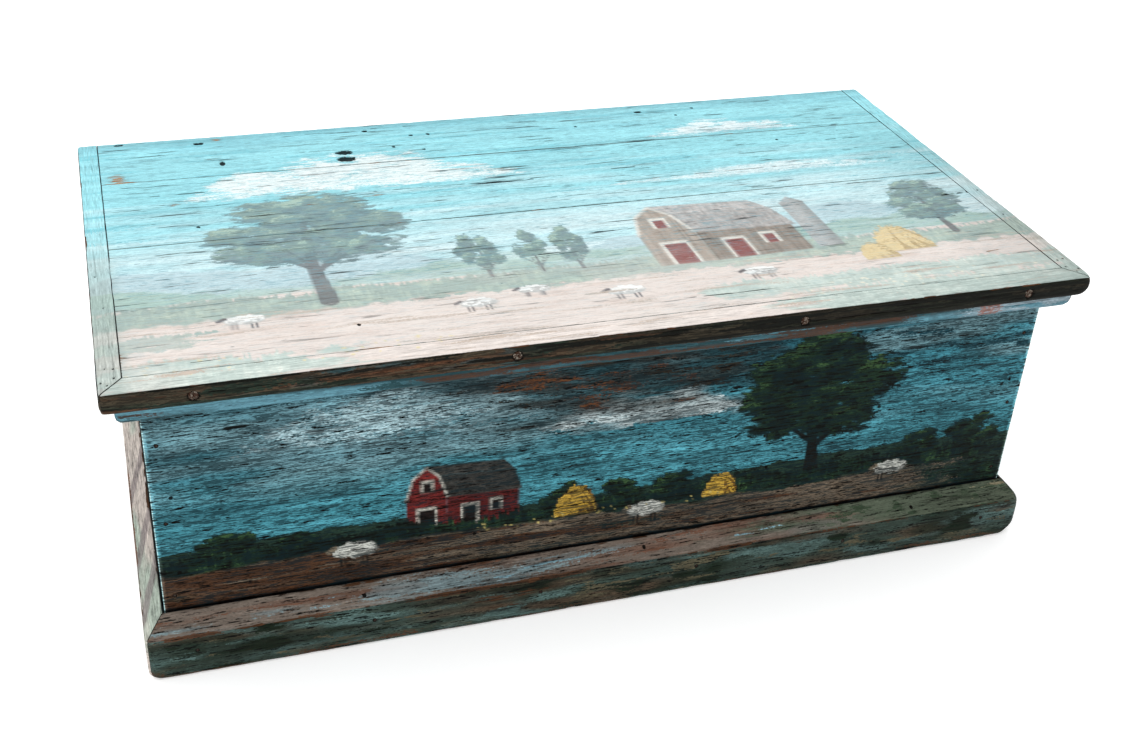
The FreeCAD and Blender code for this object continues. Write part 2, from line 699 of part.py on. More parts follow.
def shank_ring(radius, height):
    """Corners of a ring of straight sides round Z, at the radius."""
    turn = FreeCAD.Rotation(UP, 360 / SHANK_SIDES)
    corners = [Vector(radius, 0, height)]
    while len(corners) < SHANK_SIDES:
        corners.append(turn.multVec(corners[-1]))
    return corners


def flat_sided_solid(rings):
    """A solid between rings of corners: flat sides from each ring to the next, and flat ends."""
    outlines = [rings[0], rings[-1]]
    for upper, lower in zip(rings, rings[1:]):
        for index in range(SHANK_SIDES):
            following = (index + 1) % SHANK_SIDES
            outlines.append([upper[index], upper[following], lower[following], lower[index]])
    faces = [Part.Face(Part.makePolygon(outline + outline[:1])) for outline in outlines]
    return Part.makeSolid(Part.makeShell(faces))


def round_headed_screw(length):
    """A slotted screw with a crowned round head, its top at the origin and its point below."""
    head = S.edge_screw_head_radius.value
    rise = S.edge_screw_head_height.value
    return screw_head((
        (0, 0),
        (head * SCREW_CROWN_SHARE, 0),
        (head, -rise),
        (S.edge_screw_radius.value, -rise),
        (0, -rise),
    ), length.value)


def countersunk_screw():
    """A slotted hinge screw with a flat countersunk head."""
    head = S.hinge_screw_head_radius.value
    shank = S.hinge_screw_radius.value
    return screw_head((
        (0, 0),
        (head, 0),
        (shank, shank - head),
        (0, shank - head),
    ), S.hinge_screw_length.value)


def fastener_group(label, solid, seats, corner):
    """Set copies of one fastener: each seat is its head's place from the corner, and where it points."""
    copies = []
    for place, direction in seats:
        seat = FreeCAD.Placement(
            Vector(*[length.value for length in place]), FreeCAD.Rotation(DOWN, direction))
        copy = solid.copy()
        copy.Placement = seat.multiply(solid.Placement)
        copies.append(copy)
    group = doc.addObject("Part::Feature", label)
    group.Label = label
    group.Shape = Part.makeCompound(copies)
    group.Placement = FreeCAD.Placement(
        Vector(*[length.value for length in corner]), FreeCAD.Rotation())


def nail_case():
    """Nails through the front and back boards into the edges of the end boards."""
    heights = [CASE_HEIGHT * share for share in CORNER_NAIL_SHARES]
    across = (S.wall_thickness / 2, CASE_LENGTH - S.wall_thickness / 2)
    front = [((x, ZERO, z), BACKWARDS) for x in across for z in heights]
    back = [((x, CASE_DEPTH, z), FORWARDS) for x in across for z in heights]
    corner = (CASE_LEFT, CASE_FRONT, ZERO)
    fastener_group("front_board_nails", nail(S.nail_length), front, corner)
    fastener_group("back_board_nails", nail(S.nail_length), back, corner)


def nail_plinth():
    """Nails through the upright face of the plinth into the case."""
    width = S.plinth_projection
    height = (S.plinth_height - S.plinth_bevel_drop) * PLINTH_NAIL_HEIGHT_SHARE
    front_length = CASE_LENGTH + 2 * width
    seats = [((front_length * share, ZERO, height), BACKWARDS) for share in FRONT_RUN_SHARES]
    for share in SIDE_RUN_SHARES:
        along = (CASE_DEPTH + width) * share
        seats.append(((ZERO, along, height), RIGHTWARDS))
        seats.append(((front_length, along, height), LEFTWARDS))
    corner = (CASE_LEFT - width, CASE_FRONT - width, ZERO)
    fastener_group("plinth_nails", nail(S.plinth_nail_length), seats, corner)


def nail_bottom():
    """Nails through the cleats into the walls, and down through the boards into the cleats."""
    corner = (CASE_LEFT + S.wall_thickness, CASE_FRONT + S.wall_thickness, ZERO)
    middle = S.bottom_rise - S.cleat_height / 2
    seats = []
    for share in CLEAT_RUN_SHARES:
        along = INNER_LENGTH * share
        seats.append(((along, S.cleat_width, middle), FORWARDS))
        seats.append(((along, INNER_DEPTH - S.cleat_width, middle), BACKWARDS))
    for share in SIDE_RUN_SHARES:
        along = INNER_DEPTH * share
        seats.append(((S.cleat_width, along, middle), LEFTWARDS))
        seats.append(((INNER_LENGTH - S.cleat_width, along, middle), RIGHTWARDS))
    fastener_group("cleat_nails", nail(S.cleat_nail_length), seats, corner)

    top = S.bottom_rise + S.bottom_thickness
    seats = []
    for name, low, high in BOTTOM_BOARD_SHARES:
        for share in PAIR_SHARES:
            along = INNER_DEPTH * (low + (high - low) * share)
            seats.append(((S.cleat_width / 2, along, top), DOWN))
            seats.append(((INNER_LENGTH - S.cleat_width / 2, along, top), DOWN))
    fastener_group("bottom_board_nails", nail(S.bottom_nail_length), seats, corner)


def screw_edging():
    """Round-headed screws through the edging into the lid boards, in recesses."""
    middle = S.lid_thickness / 2
    depth = S.edge_screw_sink - S.edge_screw_head_height
    seats = []
    for share in FRONT_SCREW_SHARES:
        seats.append(((S.lid_length / 2 * (1 + share), depth, middle), BACKWARDS))
    for along in side_screw_places():
        seats.append(((depth, along, middle), RIGHTWARDS))
        seats.append(((S.lid_length - depth, along, middle), LEFTWARDS))
    corner = (LEFT, FRONT, LID_UNDERSIDE)
    fastener_group("lid_edging_screws", round_headed_screw(S.edge_screw_length), seats, corner)


def nail_mitres():
    """One nail across each mitre of the edging, driven from the side."""
    along = S.edging_front_width / 2
    middle = S.lid_thickness / 2
    seats = [((ZERO, along, middle), RIGHTWARDS), ((S.lid_length, along, middle), LEFTWARDS)]
    corner = (LEFT, FRONT, LID_UNDERSIDE)
    fastener_group("lid_mitre_nails", nail(S.mitre_nail_length), seats, corner)


def nail_lip():
    """Nails up through the lip into the lid."""
    inset = LIP_DEPTH - S.nail_head_width / 2
    front_length = S.lid_length - 2 * S.lip_setback
    side_length = S.lid_depth - S.lip_setback
    seats = [((front_length * share, inset, ZERO), UP) for share in FRONT_RUN_SHARES]
    for share in SIDE_RUN_SHARES:
        seats.append(((inset, side_length * share, ZERO), UP))
        seats.append(((front_length - inset, side_length * share, ZERO), UP))
    corner = (LEFT + S.lip_setback, FRONT + S.lip_setback, LID_UNDERSIDE - S.lip_drop)
    fastener_group("lid_lip_nails", nail(S.lip_nail_length), seats, corner)


def nail_battens():
    """Two nails up through each batten into each lid board, as far as the batten reaches."""
    length = INNER_DEPTH - 2 * S.batten_clearance
    start = S.lid_overhang + S.wall_thickness + S.batten_clearance
    joint_one = S.edging_front_width + FRONT_PLANK_WIDTH - start
    joint_two = joint_one + S.middle_plank_width
    stretches = ((S.batten_end_bevel, joint_one), (joint_one, joint_two),
                 (joint_two, length - S.batten_end_bevel))
    seats = []
    for side in (-1, 1):
        left = side * BATTEN_REACH - S.batten_width / 2
        for low, high in stretches:
            for share in PAIR_SHARES:
                along = low + (high - low) * share
                seats.append(((left + S.batten_width * share, along, ZERO), UP))
    corner = (ZERO, FRONT + start, LID_UNDERSIDE - S.batten_thickness)
    fastener_group("lid_batten_nails", nail(S.batten_nail_length), seats, corner)


def screw_hinges():
    """Three countersunk screws through each hinge leaf."""
    solid = countersunk_screw()
    under = S.seat_gap / 2
    corner = (ZERO, BACK - S.leaf_width / 2, CASE_HEIGHT + under)
    starts = [side * HINGE_REACH - S.hinge_length / 2 for side in (-1, 1)]
    places = [start + hole for start in starts for hole in leaf_hole_places()]
    down = [((x, ZERO, -under), DOWN) for x in places]
    up = [((x, ZERO, under), UP) for x in places]
    fastener_group("hinge_case_screws", solid, down, corner)
    fastener_group("hinge_lid_screws", solid, up, corner)


# Check and write

def sub_parts():
    """Every object that is a piece of the chest."""
    kinds = ("PartDesign::Body", "Part::Cylinder", "Part::Feature")
    return [item for item in doc.Objects if item.TypeId in kinds]


def check_and_write():
    """Stop on any failed object or shape; otherwise write one STEP file for each piece."""
    doc.recompute()
    for item in doc.Objects:
        if "Invalid" in item.State or "Error" in item.State:
            raise RuntimeError("%s failed: %s" % (item.Label, item.State))
    for item in sub_parts():
        if item.Shape.isNull() or not item.Shape.isValid() or not item.Shape.Solids:
            raise RuntimeError("%s has no valid solid" % item.Label)
    os.makedirs("parts", exist_ok=True)
    for item in sub_parts():
        item.Shape.exportStep(os.path.join("parts", item.Label + ".step"))
    print("wrote %d pieces" % len(sub_parts()))


build_case_walls()
build_bottom()
build_plinth()
build_lid_planks()
build_edging()
build_lip()
build_battens()
build_hinges()
nail_case()
nail_plinth()
nail_bottom()
screw_edging()
nail_mitres()
nail_lip()
nail_battens()
screw_hinges()
check_and_write()
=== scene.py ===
"""Looks of a small painted blanket chest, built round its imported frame.

Lengths here are millimetres until a mesh is made. Every board and moulding is a section carried along
its grain, with worn arrises, cracks, pits and nail holes in its surface. The lid and the front carry two
farm landscapes in thin old paint, the mouldings are dark and rubbed, and the back and inside are bare.
"""
import logging
import math
from collections.abc import Sequence
from dataclasses import dataclass, replace
from enum import Enum
from functools import partialmethod

import bpy
import numpy as np
from mathutils import Matrix, Vector


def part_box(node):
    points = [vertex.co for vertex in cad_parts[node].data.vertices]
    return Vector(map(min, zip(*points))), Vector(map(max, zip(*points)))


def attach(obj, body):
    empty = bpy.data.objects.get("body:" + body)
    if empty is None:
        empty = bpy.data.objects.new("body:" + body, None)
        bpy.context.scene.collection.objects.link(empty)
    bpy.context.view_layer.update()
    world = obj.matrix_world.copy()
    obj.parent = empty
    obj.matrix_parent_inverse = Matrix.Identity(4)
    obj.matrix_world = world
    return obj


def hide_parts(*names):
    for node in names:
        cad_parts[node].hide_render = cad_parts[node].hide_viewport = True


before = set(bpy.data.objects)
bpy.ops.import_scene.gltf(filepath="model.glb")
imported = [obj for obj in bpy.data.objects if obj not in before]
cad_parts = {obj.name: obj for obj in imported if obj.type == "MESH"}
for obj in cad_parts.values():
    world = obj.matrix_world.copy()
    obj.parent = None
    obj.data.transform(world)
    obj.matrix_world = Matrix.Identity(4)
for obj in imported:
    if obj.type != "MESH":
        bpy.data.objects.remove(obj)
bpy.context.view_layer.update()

Array = np.ndarray
Point = tuple[float, float]
Colour = tuple[int, int, int]
LOG = logging.getLogger("chest")
METRE = 1000.0
SHARP_EDGE = math.radians(50)


def linear(colour: Colour) -> Array:
    """Return a display colour of 0 to 255 as the linear colour that the shaders use."""
    share = np.array(colour) / 255.0
    return np.where(share <= 0.04045, share / 12.92, ((share + 0.055) / 1.055) ** 2.4)


def ramp(value: Array, low: float, high: float) -> Array:
    """Rise smoothly from 0 at low to 1 at high: three times the square less twice the cube."""
    share = np.clip((value - low) / (high - low), 0.0, 1.0)
    return share * share * (3.0 - 2.0 * share)


class Noise:
    """Smooth random fields that repeat exactly for one seed."""

    SIDE = 256

    def __init__(self, seed: int) -> None:
        """Fill one square table of random numbers from the seed."""
        self.table = np.random.default_rng(seed).random((self.SIDE, self.SIDE))

    def value(self, x: Array, y: Array) -> Array:
        """Blend the four table entries round each point with smooth weights.

        Args:
            x: Columns of the table, at any fraction.
            y: Rows of the table, at any fraction.

        Returns:
            Values from 0 to 1.
        """
        column, row = np.floor(x).astype(int), np.floor(y).astype(int)
        across, up = ramp(x - column, 0, 1), ramp(y - row, 0, 1)
        here, there = column % self.SIDE, (column + 1) % self.SIDE
        low, high = [self.table[level, here] * (1 - across) + self.table[level, there] * across
                     for level in (row % self.SIDE, (row + 1) % self.SIDE)]
        return low * (1 - up) + high * up

    def fractal(self, x: Array, y: Array, octaves: int = 3) -> Array:
        """Add octaves, each of twice the pitch and half the share, and widen the sum about a half.

        Args:
            x: Places along, in units of the coarsest feature.
            y: Places across, in the same units.
            octaves: How many fields are added.

        Returns:
            Values from 0 to 1 with a mean near a half.
        """
        total, weight = 0.0, 0.0
        for octave in range(octaves):
            step, share = 2.0 ** octave, 0.5 ** octave
            total = total + share * self.value(x * step + 17.3 * octave, y * step + 5.1 * octave)
            weight += share
        return np.clip(0.5 + (total / weight - 0.5) * 1.5, 0.0, 1.0)


# Painting


class Painting:
    """Paint on a set of points: the top colour, the colour under it, and how well the top covers.

    The finish decides between the two point by point, so that a thin cover comes out as fine dabs. The
    points' places are millimetres along and across the surface. The edges of outlines and of strokes
    fade over twice SOFT and twice BRISTLE.
    """

    SOFT = 1.1
    BRISTLE = 0.9
    LEAN = 0.35
    OUTSIDE = -9.0

    def __init__(self, x: Array, y: Array, seed: int) -> None:
        """Start with a black ground on these points."""
        self.x, self.y, self.noise, self.rng = x, y, Noise(seed), np.random.default_rng(seed)
        self.top, self.under, self.cover = np.zeros((*x.shape, 3)), np.zeros((*x.shape, 3)), np.zeros(x.shape)

    def lay(self, colour: Colour, cover: Array | float = 1.0, tone: float = 1.0) -> None:
        """Brush a colour smoothly over both.

        Args:
            colour: The colour.
            cover: Its cover of 0 to 1.
            tone: The share of its light that it keeps.
        """
        share = np.clip(np.broadcast_to(cover, self.cover.shape), 0.0, 1.0)[..., None]
        for coat in (self.top, self.under):
            coat += (linear(colour) * tone - coat) * share

    def dab(self, colour: Colour, cover: Array | float) -> None:
        """Dab a colour on; what was there becomes the colour under it.

        Args:
            colour: The colour.
            cover: Its cover of 0 to 1.
        """
        cover = np.clip(np.broadcast_to(cover, self.cover.shape), 0.0, 1.0)
        near = cover > 0.01
        self.under[near] += (self.top[near] - self.under[near]) * self.cover[near][:, None]
        self.top[near], self.cover[near] = linear(colour), cover[near]

    def scale(self, factor: Array) -> None:
        """Lighten or darken every point by its factor."""
        self.top *= factor[..., None]
        self.under *= factor[..., None]

    def paste(self, where: Array, other: "Painting") -> None:
        """Put another painting on the points where a mask is true."""
        self.top[where], self.under[where], self.cover[where] = other.top, other.under, other.cover

    def draw(self, motifs: "Sequence[Grass | Motif]") -> None:
        """Paint motifs in order."""
        for motif in motifs:
            motif.paint(self)

    def grain(self, length: float, height: float, shift: float = 0.0, octaves: int = 3) -> Array:
        """Return a random field of 0 to 1 with features of that length and height."""
        return self.noise.fractal(self.x / length + shift, self.y / height + 3.7 * shift, octaves)

    def patches(self, length: float, height: float, shift: float, low: float, high: float,
                more: Array | float = 0.0) -> Array:
        """Return such a field, with more added, as patches: 0 below low and 1 above high."""
        return ramp(self.grain(length, height, shift) + more, low, high)

    def sky(self, stops: Sequence[tuple[float, Colour]], waver: Array) -> None:
        """Fill from the bottom up, between stops.

        Args:
            stops: Heights in rising order, each with its colour.
            waver: How far each point reads above its own height.
        """
        heights, colours = zip(*stops)
        bands = np.array([linear(colour) for colour in colours]).T
        self.top = np.stack([np.interp(self.y + waver, heights, band) for band in bands], axis=-1)
        self.under = self.top.copy()

    def puffs(self, centres: Array, radii: Array) -> tuple[Array, Array]:
        """Measure a heap of ellipses: 1 less the squares of each point's shares of the radii.

        Args:
            centres: Middles of the ellipses.
            radii: Their half widths and half heights.

        Returns:
            How far inside the heap each point is, and how high it is on its nearest ellipse.
        """
        inside, height = np.full(self.x.shape, self.OUTSIDE), np.zeros(self.x.shape)
        for (cx, cy), (rx, ry) in zip(centres, radii):
            across, up = (self.x - cx) / rx, (self.y - cy) / ry
            depth = 1.0 - across * across - up * up
            height = np.where(depth > inside, up - self.LEAN * across, height)
            inside = np.maximum(inside, depth)
        return inside, height

    def distance(self, start: Point, end: Point) -> tuple[Array, Array]:
        """Measure a straight stroke.

        Args:
            start: Where the stroke begins.
            end: Where it ends.

        Returns:
            Each point's distance from the stroke, and its share of the way along.
        """
        run, rise = end[0] - start[0], end[1] - start[1]
        across, up = self.x - start[0], self.y - start[1]
        along = np.clip((across * run + up * rise) / (run * run + rise * rise), 0, 1)
        return np.hypot(across - along * run, up - along * rise), along

    def outline(self, corners: Sequence[Point]) -> Array:
        """Fill a closed outline: a point is inside where a level line crosses an odd count of sides.

        Args:
            corners: The outline's corners in order.

        Returns:
            Cover from 0 to 1, soft at the edge.
        """
        inside, nearest = np.zeros(self.x.shape, bool), np.full(self.x.shape, METRE)
        for (ax, ay), (bx, by) in zip(corners, [*corners[1:], corners[0]]):
            nearest = np.minimum(nearest, self.distance((ax, ay), (bx, by))[0])
            if ay != by:
                crossed = (ay > self.y) != (by > self.y)
                inside ^= crossed & (self.x < (bx - ax) * (self.y - ay) / (by - ay) + ax)
        return ramp(np.where(inside, nearest, -nearest), -self.SOFT, self.SOFT)

    def stroke(self, points: Sequence[Point], start: float, end: float) -> Array:
        """Draw a brush stroke.

        Args:
            points: Where the brush goes.
            start: Half the stroke's width at its start.
            end: Half its width at its end.

        Returns:
            Cover from 0 to 1.
        """
        cover, count = np.zeros(self.x.shape), len(points) - 1
        for number, (here, there) in enumerate(zip(points, points[1:])):
            away, along = self.distance(here, there)
            half = start + (end - start) * (number + along) / count
            cover = np.maximum(cover, 1.0 - ramp(away - half, -self.BRISTLE, self.BRISTLE))
        return cover


@dataclass(frozen=True)
class Greens:
    """Three tones of leaves or grass, from the shade to the light, and the tone of their stems."""

    shade: Colour
    middle: Colour
    light: Colour
    stem: Colour


@dataclass(frozen=True)
class Grass:
    """A belt of grass between two heights, with blades along its upper edge, and its two ends."""

    low: float
    high: float
    blade: float
    greens: Greens
    start: float = -METRE
    end: float = METRE

    def paint(self, on: Painting) -> None:
        """Cover the belt, its top broken into upright blades of a random height.

        Args:
            on: The painting.
        """
        top = self.high + (on.grain(1.6, 26, self.high, 2) + on.grain(46, 60, 0, 2) * 1.4) * self.blade
        x = on.x + (on.grain(34, 7, 4) - 0.5) * 90
        ends = ramp(x, self.start - 20, self.start + 20) * (1 - ramp(x, self.end - 20, self.end + 20))
        foot = on.y - self.low + on.grain(9, 5, 0, 2) * self.blade
        belt = ramp(top - on.y, -2, 4) * ramp(foot, -2, 8) * ends
        on.dab(self.greens.shade, belt)
        tufts, within = on.grain(3, 12, 3, 2) * 0.45 + on.grain(34, 14, 9, 2) * 0.55, ramp(belt, 0.75, 1)
        on.dab(self.greens.middle, within * ramp(tufts, 0.25, 0.75))
        on.dab(self.greens.light, within * ramp(tufts, 0.52, 0.95) * 0.7)


@dataclass(frozen=True)
class Motif:
    """Something painted at a place: where it stands, the height of its foot, its width and height."""

    x: float
    foot: float
    width: float
    height: float

    def places(self, *shares: Point) -> list[Point]:
        """Return points given as shares of its width and height."""
        return [(self.x + across * self.width, self.foot + up * self.height) for across, up in shares]

    def paint(self, on: Painting) -> None:
        """Paint it; each kind of motif has its own way."""
        raise NotImplementedError


@dataclass(frozen=True)
class Tree(Motif):
    """A tree: how much of its height is crown, its count of leaf clumps, its tones and its cover."""

    crown: float
    clumps: int
    greens: Greens
    cover: float = 1.0

    def paint(self, on: Painting) -> None:
        """Stroke the trunk and boughs, then dab a crown of ragged clumps, lighter on the upper left.

        Args:
            on: The painting.
        """
        low = 1 - self.crown
        trunk = self.places((0, 0), (-0.02, low), (0, low + self.crown * 0.5))
        stems = on.stroke(trunk, self.width * 0.05, self.width * 0.02)
        for side in (-0.32, -0.14, 0.2, 0.36):
            fork = low + (abs(side) * 2 - 1) * 0.04
            bough = self.places((0, fork), (side * 0.5, fork + 0.12), (side, fork + 0.22))
            stems = np.maximum(stems, on.stroke(bough, self.width * 0.022, 0.5))
        on.lay(self.greens.stem, stems * self.cover)

        crown, draw = self.height * self.crown, on.rng.uniform
        turn, reach = draw(0, 2 * np.pi, self.clumps), np.sqrt(draw(0.02, 0.8, self.clumps))
        rise = 0.5 + 0.44 * reach * np.sin(turn)
        centres = np.stack((self.x + self.width * reach * np.cos(turn) * (0.54 - 0.27 * rise),
                            self.foot + self.height * low + crown * rise * 0.92), axis=1)
        radii = np.stack((self.width * draw(0.14, 0.22, self.clumps), crown * draw(0.11, 0.17, self.clumps)),
                         axis=1)
        inside, height = on.puffs(centres, radii)
        leaf = max(3.0, self.width * 0.03)
        ragged = (on.grain(leaf * 1.8, leaf * 0.6, self.x, 2) - 0.5) * 1.1
        ragged += (on.grain(leaf * 3, leaf * 2, 2, 2) - 0.5) * 0.8
        leaves = ramp(inside + ragged, -0.6, 0.35)
        on.dab(self.greens.shade, leaves * self.cover)
        within = ramp(leaves, 0.75, 1)
        glow = height * 0.25 + on.grain(leaf * 1.5, leaf * 0.9, self.x, 2) * 0.5
        glow += on.grain(leaf * 4, leaf * 3, 5, 2) * 0.5
        on.dab(self.greens.middle, within * ramp(glow, 0.1, 0.75))
        on.dab(self.greens.light, within * ramp(glow, 0.36, 0.95) * ramp(height, -0.6, 0.6) * 0.85)


@dataclass(frozen=True)
class Cloud(Motif):
    """A heap of puffs over a flat base: their count, and the cloud's colour and cover."""

    count: int
    colour: Colour
    cover: float

    def paint(self, on: Painting) -> None:
        """Brush soft puffs, larger towards the middle, that thin out along the base.

        Args:
            on: The painting.
        """
        share = np.linspace(0.03, 0.97, self.count)
        bulk = np.sin(np.pi * share) ** 0.7 * on.rng.uniform(0.55, 1.0, self.count)
        centres = np.stack((self.x + self.width * share, self.foot + self.height * 0.35 * bulk), axis=1)
        radii = np.stack((self.width * (0.07 + 0.09 * bulk), self.height * (0.2 + 0.5 * bulk)), axis=1)
        brush = on.grain(16, 3, self.x) * 0.6 + on.grain(30, 14, 4, 2) * 0.4 - 0.5
        body = ramp(on.puffs(centres, radii)[0] + brush * 1.5, -0.6, 0.95)
        body *= ramp(on.y - self.foot + brush * 10, -6, 9)
        rise = ramp((on.y - self.foot) / self.height + brush * 0.8, -0.1, 0.6)
        on.dab(self.colour, body * self.cover * (0.62 + 0.38 * rise))


@dataclass(frozen=True)
class Heap(Motif):
    """A heap of hay: a dome with combed strokes, lit and shaded."""

    light: Colour
    dark: Colour

    def paint(self, on: Painting) -> None:
        """Fill the dome, then comb it from its top down to its foot.

        Args:
            on: The painting.
        """
        across, up = (on.x - self.x) / (self.width * 0.5), (on.y - self.foot) / self.height
        dome = 1.0 - np.abs(across) ** 2.4 - np.clip(up, 0, 9) ** 1.7
        shape = ramp(dome + (on.grain(1.8, 4, self.x, 2) - 0.5) * 0.35, -0.06, 0.1) * ramp(up, -0.06, 0.04)
        fan = on.noise.fractal(across * 9.0 / np.maximum(1.15 - up, 0.2), up * 2.2 + self.x, 2)
        on.lay(self.dark, shape)
        on.dab(self.light, shape * ramp(fan * 0.7 + 0.35 - 0.3 * across, 0.2, 0.85))


@dataclass(frozen=True)
class Sheep(Motif):
    """A grazing sheep that looks left: the colours of its fleece, legs and face."""

    fleece: Colour
    legs: Colour
    face: Colour

    def paint(self, on: Painting) -> None:
        """Stroke four legs, dab a woolly body of puffs, and stroke the head.

        Args:
            on: The painting.
        """
        for leg in (-0.3, -0.18, 0.2, 0.32):
            on.lay(self.legs, on.stroke(self.places((leg, 0), (leg, 0.3)), 0.9, 1.0))
        centres = self.places((-0.26, 0.44), (-0.05, 0.5), (0.16, 0.5), (0.34, 0.43), (0.05, 0.38))
        inside, height = on.puffs(centres, [(0.24 * self.width, 0.2 * self.height)] * len(centres))
        wool = ramp(inside + (on.grain(3, 3, self.x, 1) - 0.5) * 0.4, -0.15, 0.25)
        on.lay(self.fleece, wool, 0.62)
        on.dab(self.fleece, ramp(wool, 0.7, 1) * ramp(height + on.grain(3.2, 3, 3, 1), -0.3, 0.9))
        head = self.places((-0.44, 0.56), (-0.6, 0.46))
        on.lay(self.face, on.stroke(head, 0.075 * self.width, 0.06 * self.width))


@dataclass(frozen=True)
class Barn(Motif):
    """A barn seen at three quarters, with a roof of two slopes, and its four colours."""

    wall: Colour
    roof: Colour
    door: Colour
    trim: Colour

    def paint(self, on: Painting) -> None:
        """Lay the long wall, the gable wall and the roof's two slopes, then doors and trim.

        Args:
            on: The painting.
        """
        boards, shingles = 0.82 + 0.36 * on.grain(2.6, 60, self.x, 2), 0.8 + 0.4 * on.grain(3, 7, 8, 2)
        eaves = ((0, 0.52), (0.06, 0.84), (0.18, 1.0), (0.29, 0.84), (0.36, 0.52))
        for colour, shade, corners in (
                (self.wall, 0.72 * boards, ((0.36, 0), (1, 0.03), (1, 0.5), (0.36, 0.52))),
                (self.wall, boards, ((0, 0), (0.36, 0), *eaves[::-1])),
                (self.roof, 0.86 * shingles, ((0.345, 0.5), (1.03, 0.47), (0.96, 0.8), (0.28, 0.85))),
                (self.roof, shingles, ((0.28, 0.85), (0.96, 0.8), (0.86, 0.97), (0.17, 1.02)))):
            cover = on.outline(self.places(*corners))
            on.lay(colour, cover)
            on.scale(1 + cover * (shade - 1))
        for left, low, right, high in ((0.11, 0, 0.25, 0.34), (0.15, 0.62, 0.22, 0.76),
                                       (0.5, 0.02, 0.62, 0.32), (0.76, 0.2, 0.83, 0.35)):
            for colour, rim in ((self.trim, 0.022), (self.door, 0.0)):
                opening = ((left - rim, low), (right + rim, low), (right + rim, high + 2 * rim),
                           (left - rim, high + 2 * rim))
                on.lay(colour, on.outline(self.places(*opening)))
        on.lay(self.trim, on.stroke(self.places(*eaves), 0.012 * self.width, 0.012 * self.width) * 0.8)
        on.lay(self.roof, on.stroke(self.places((0.28, 0.85), (0.96, 0.8)), 0.7, 0.7) * 0.7, 0.5)


@dataclass(frozen=True)
class Flowers(Motif):
    """Small blossoms at random places in a box, their count, size and colour."""

    count: int
    size: float
    colour: Colour

    def paint(self, on: Painting) -> None:
        """Touch in the blossoms.

        Args:
            on: The painting.
        """
        reach_x, reach_y = self.width / 2 + 2 * self.size, self.height / 2 + 2 * self.size
        near = np.abs(on.x - self.x - self.width / 2) < reach_x
        near &= np.abs(on.y - self.foot - self.height / 2) < reach_y
        cover = np.zeros(near.sum())
        for _ in range(self.count):
            across = on.rng.uniform(self.x, self.x + self.width)
            up = on.rng.uniform(self.foot, self.foot + self.height)
            radius = self.size * on.rng.uniform(0.5, 1.1)
            away = np.hypot((on.x[near] - across) / 1.25, on.y[near] - up)
            cover = np.maximum(cover, 1 - ramp(away, radius * 0.5, radius * 1.2))
        touched = np.zeros(on.x.shape)
        touched[near] = cover * 0.9
        on.lay(self.colour, touched)


def flock(places: Sequence[tuple[float, float, float]], *colours: Colour) -> tuple[Sheep, ...]:
    """Return sheep, each at its place and foot and of its size."""
    return tuple(Sheep(x, foot, size, size, *colours) for x, foot, size in places)


def trees(places: Sequence[tuple[float, ...]], *looks: object) -> tuple[Tree, ...]:
    """Return trees of the same looks."""
    return tuple(Tree(*place, *looks) for place in places)


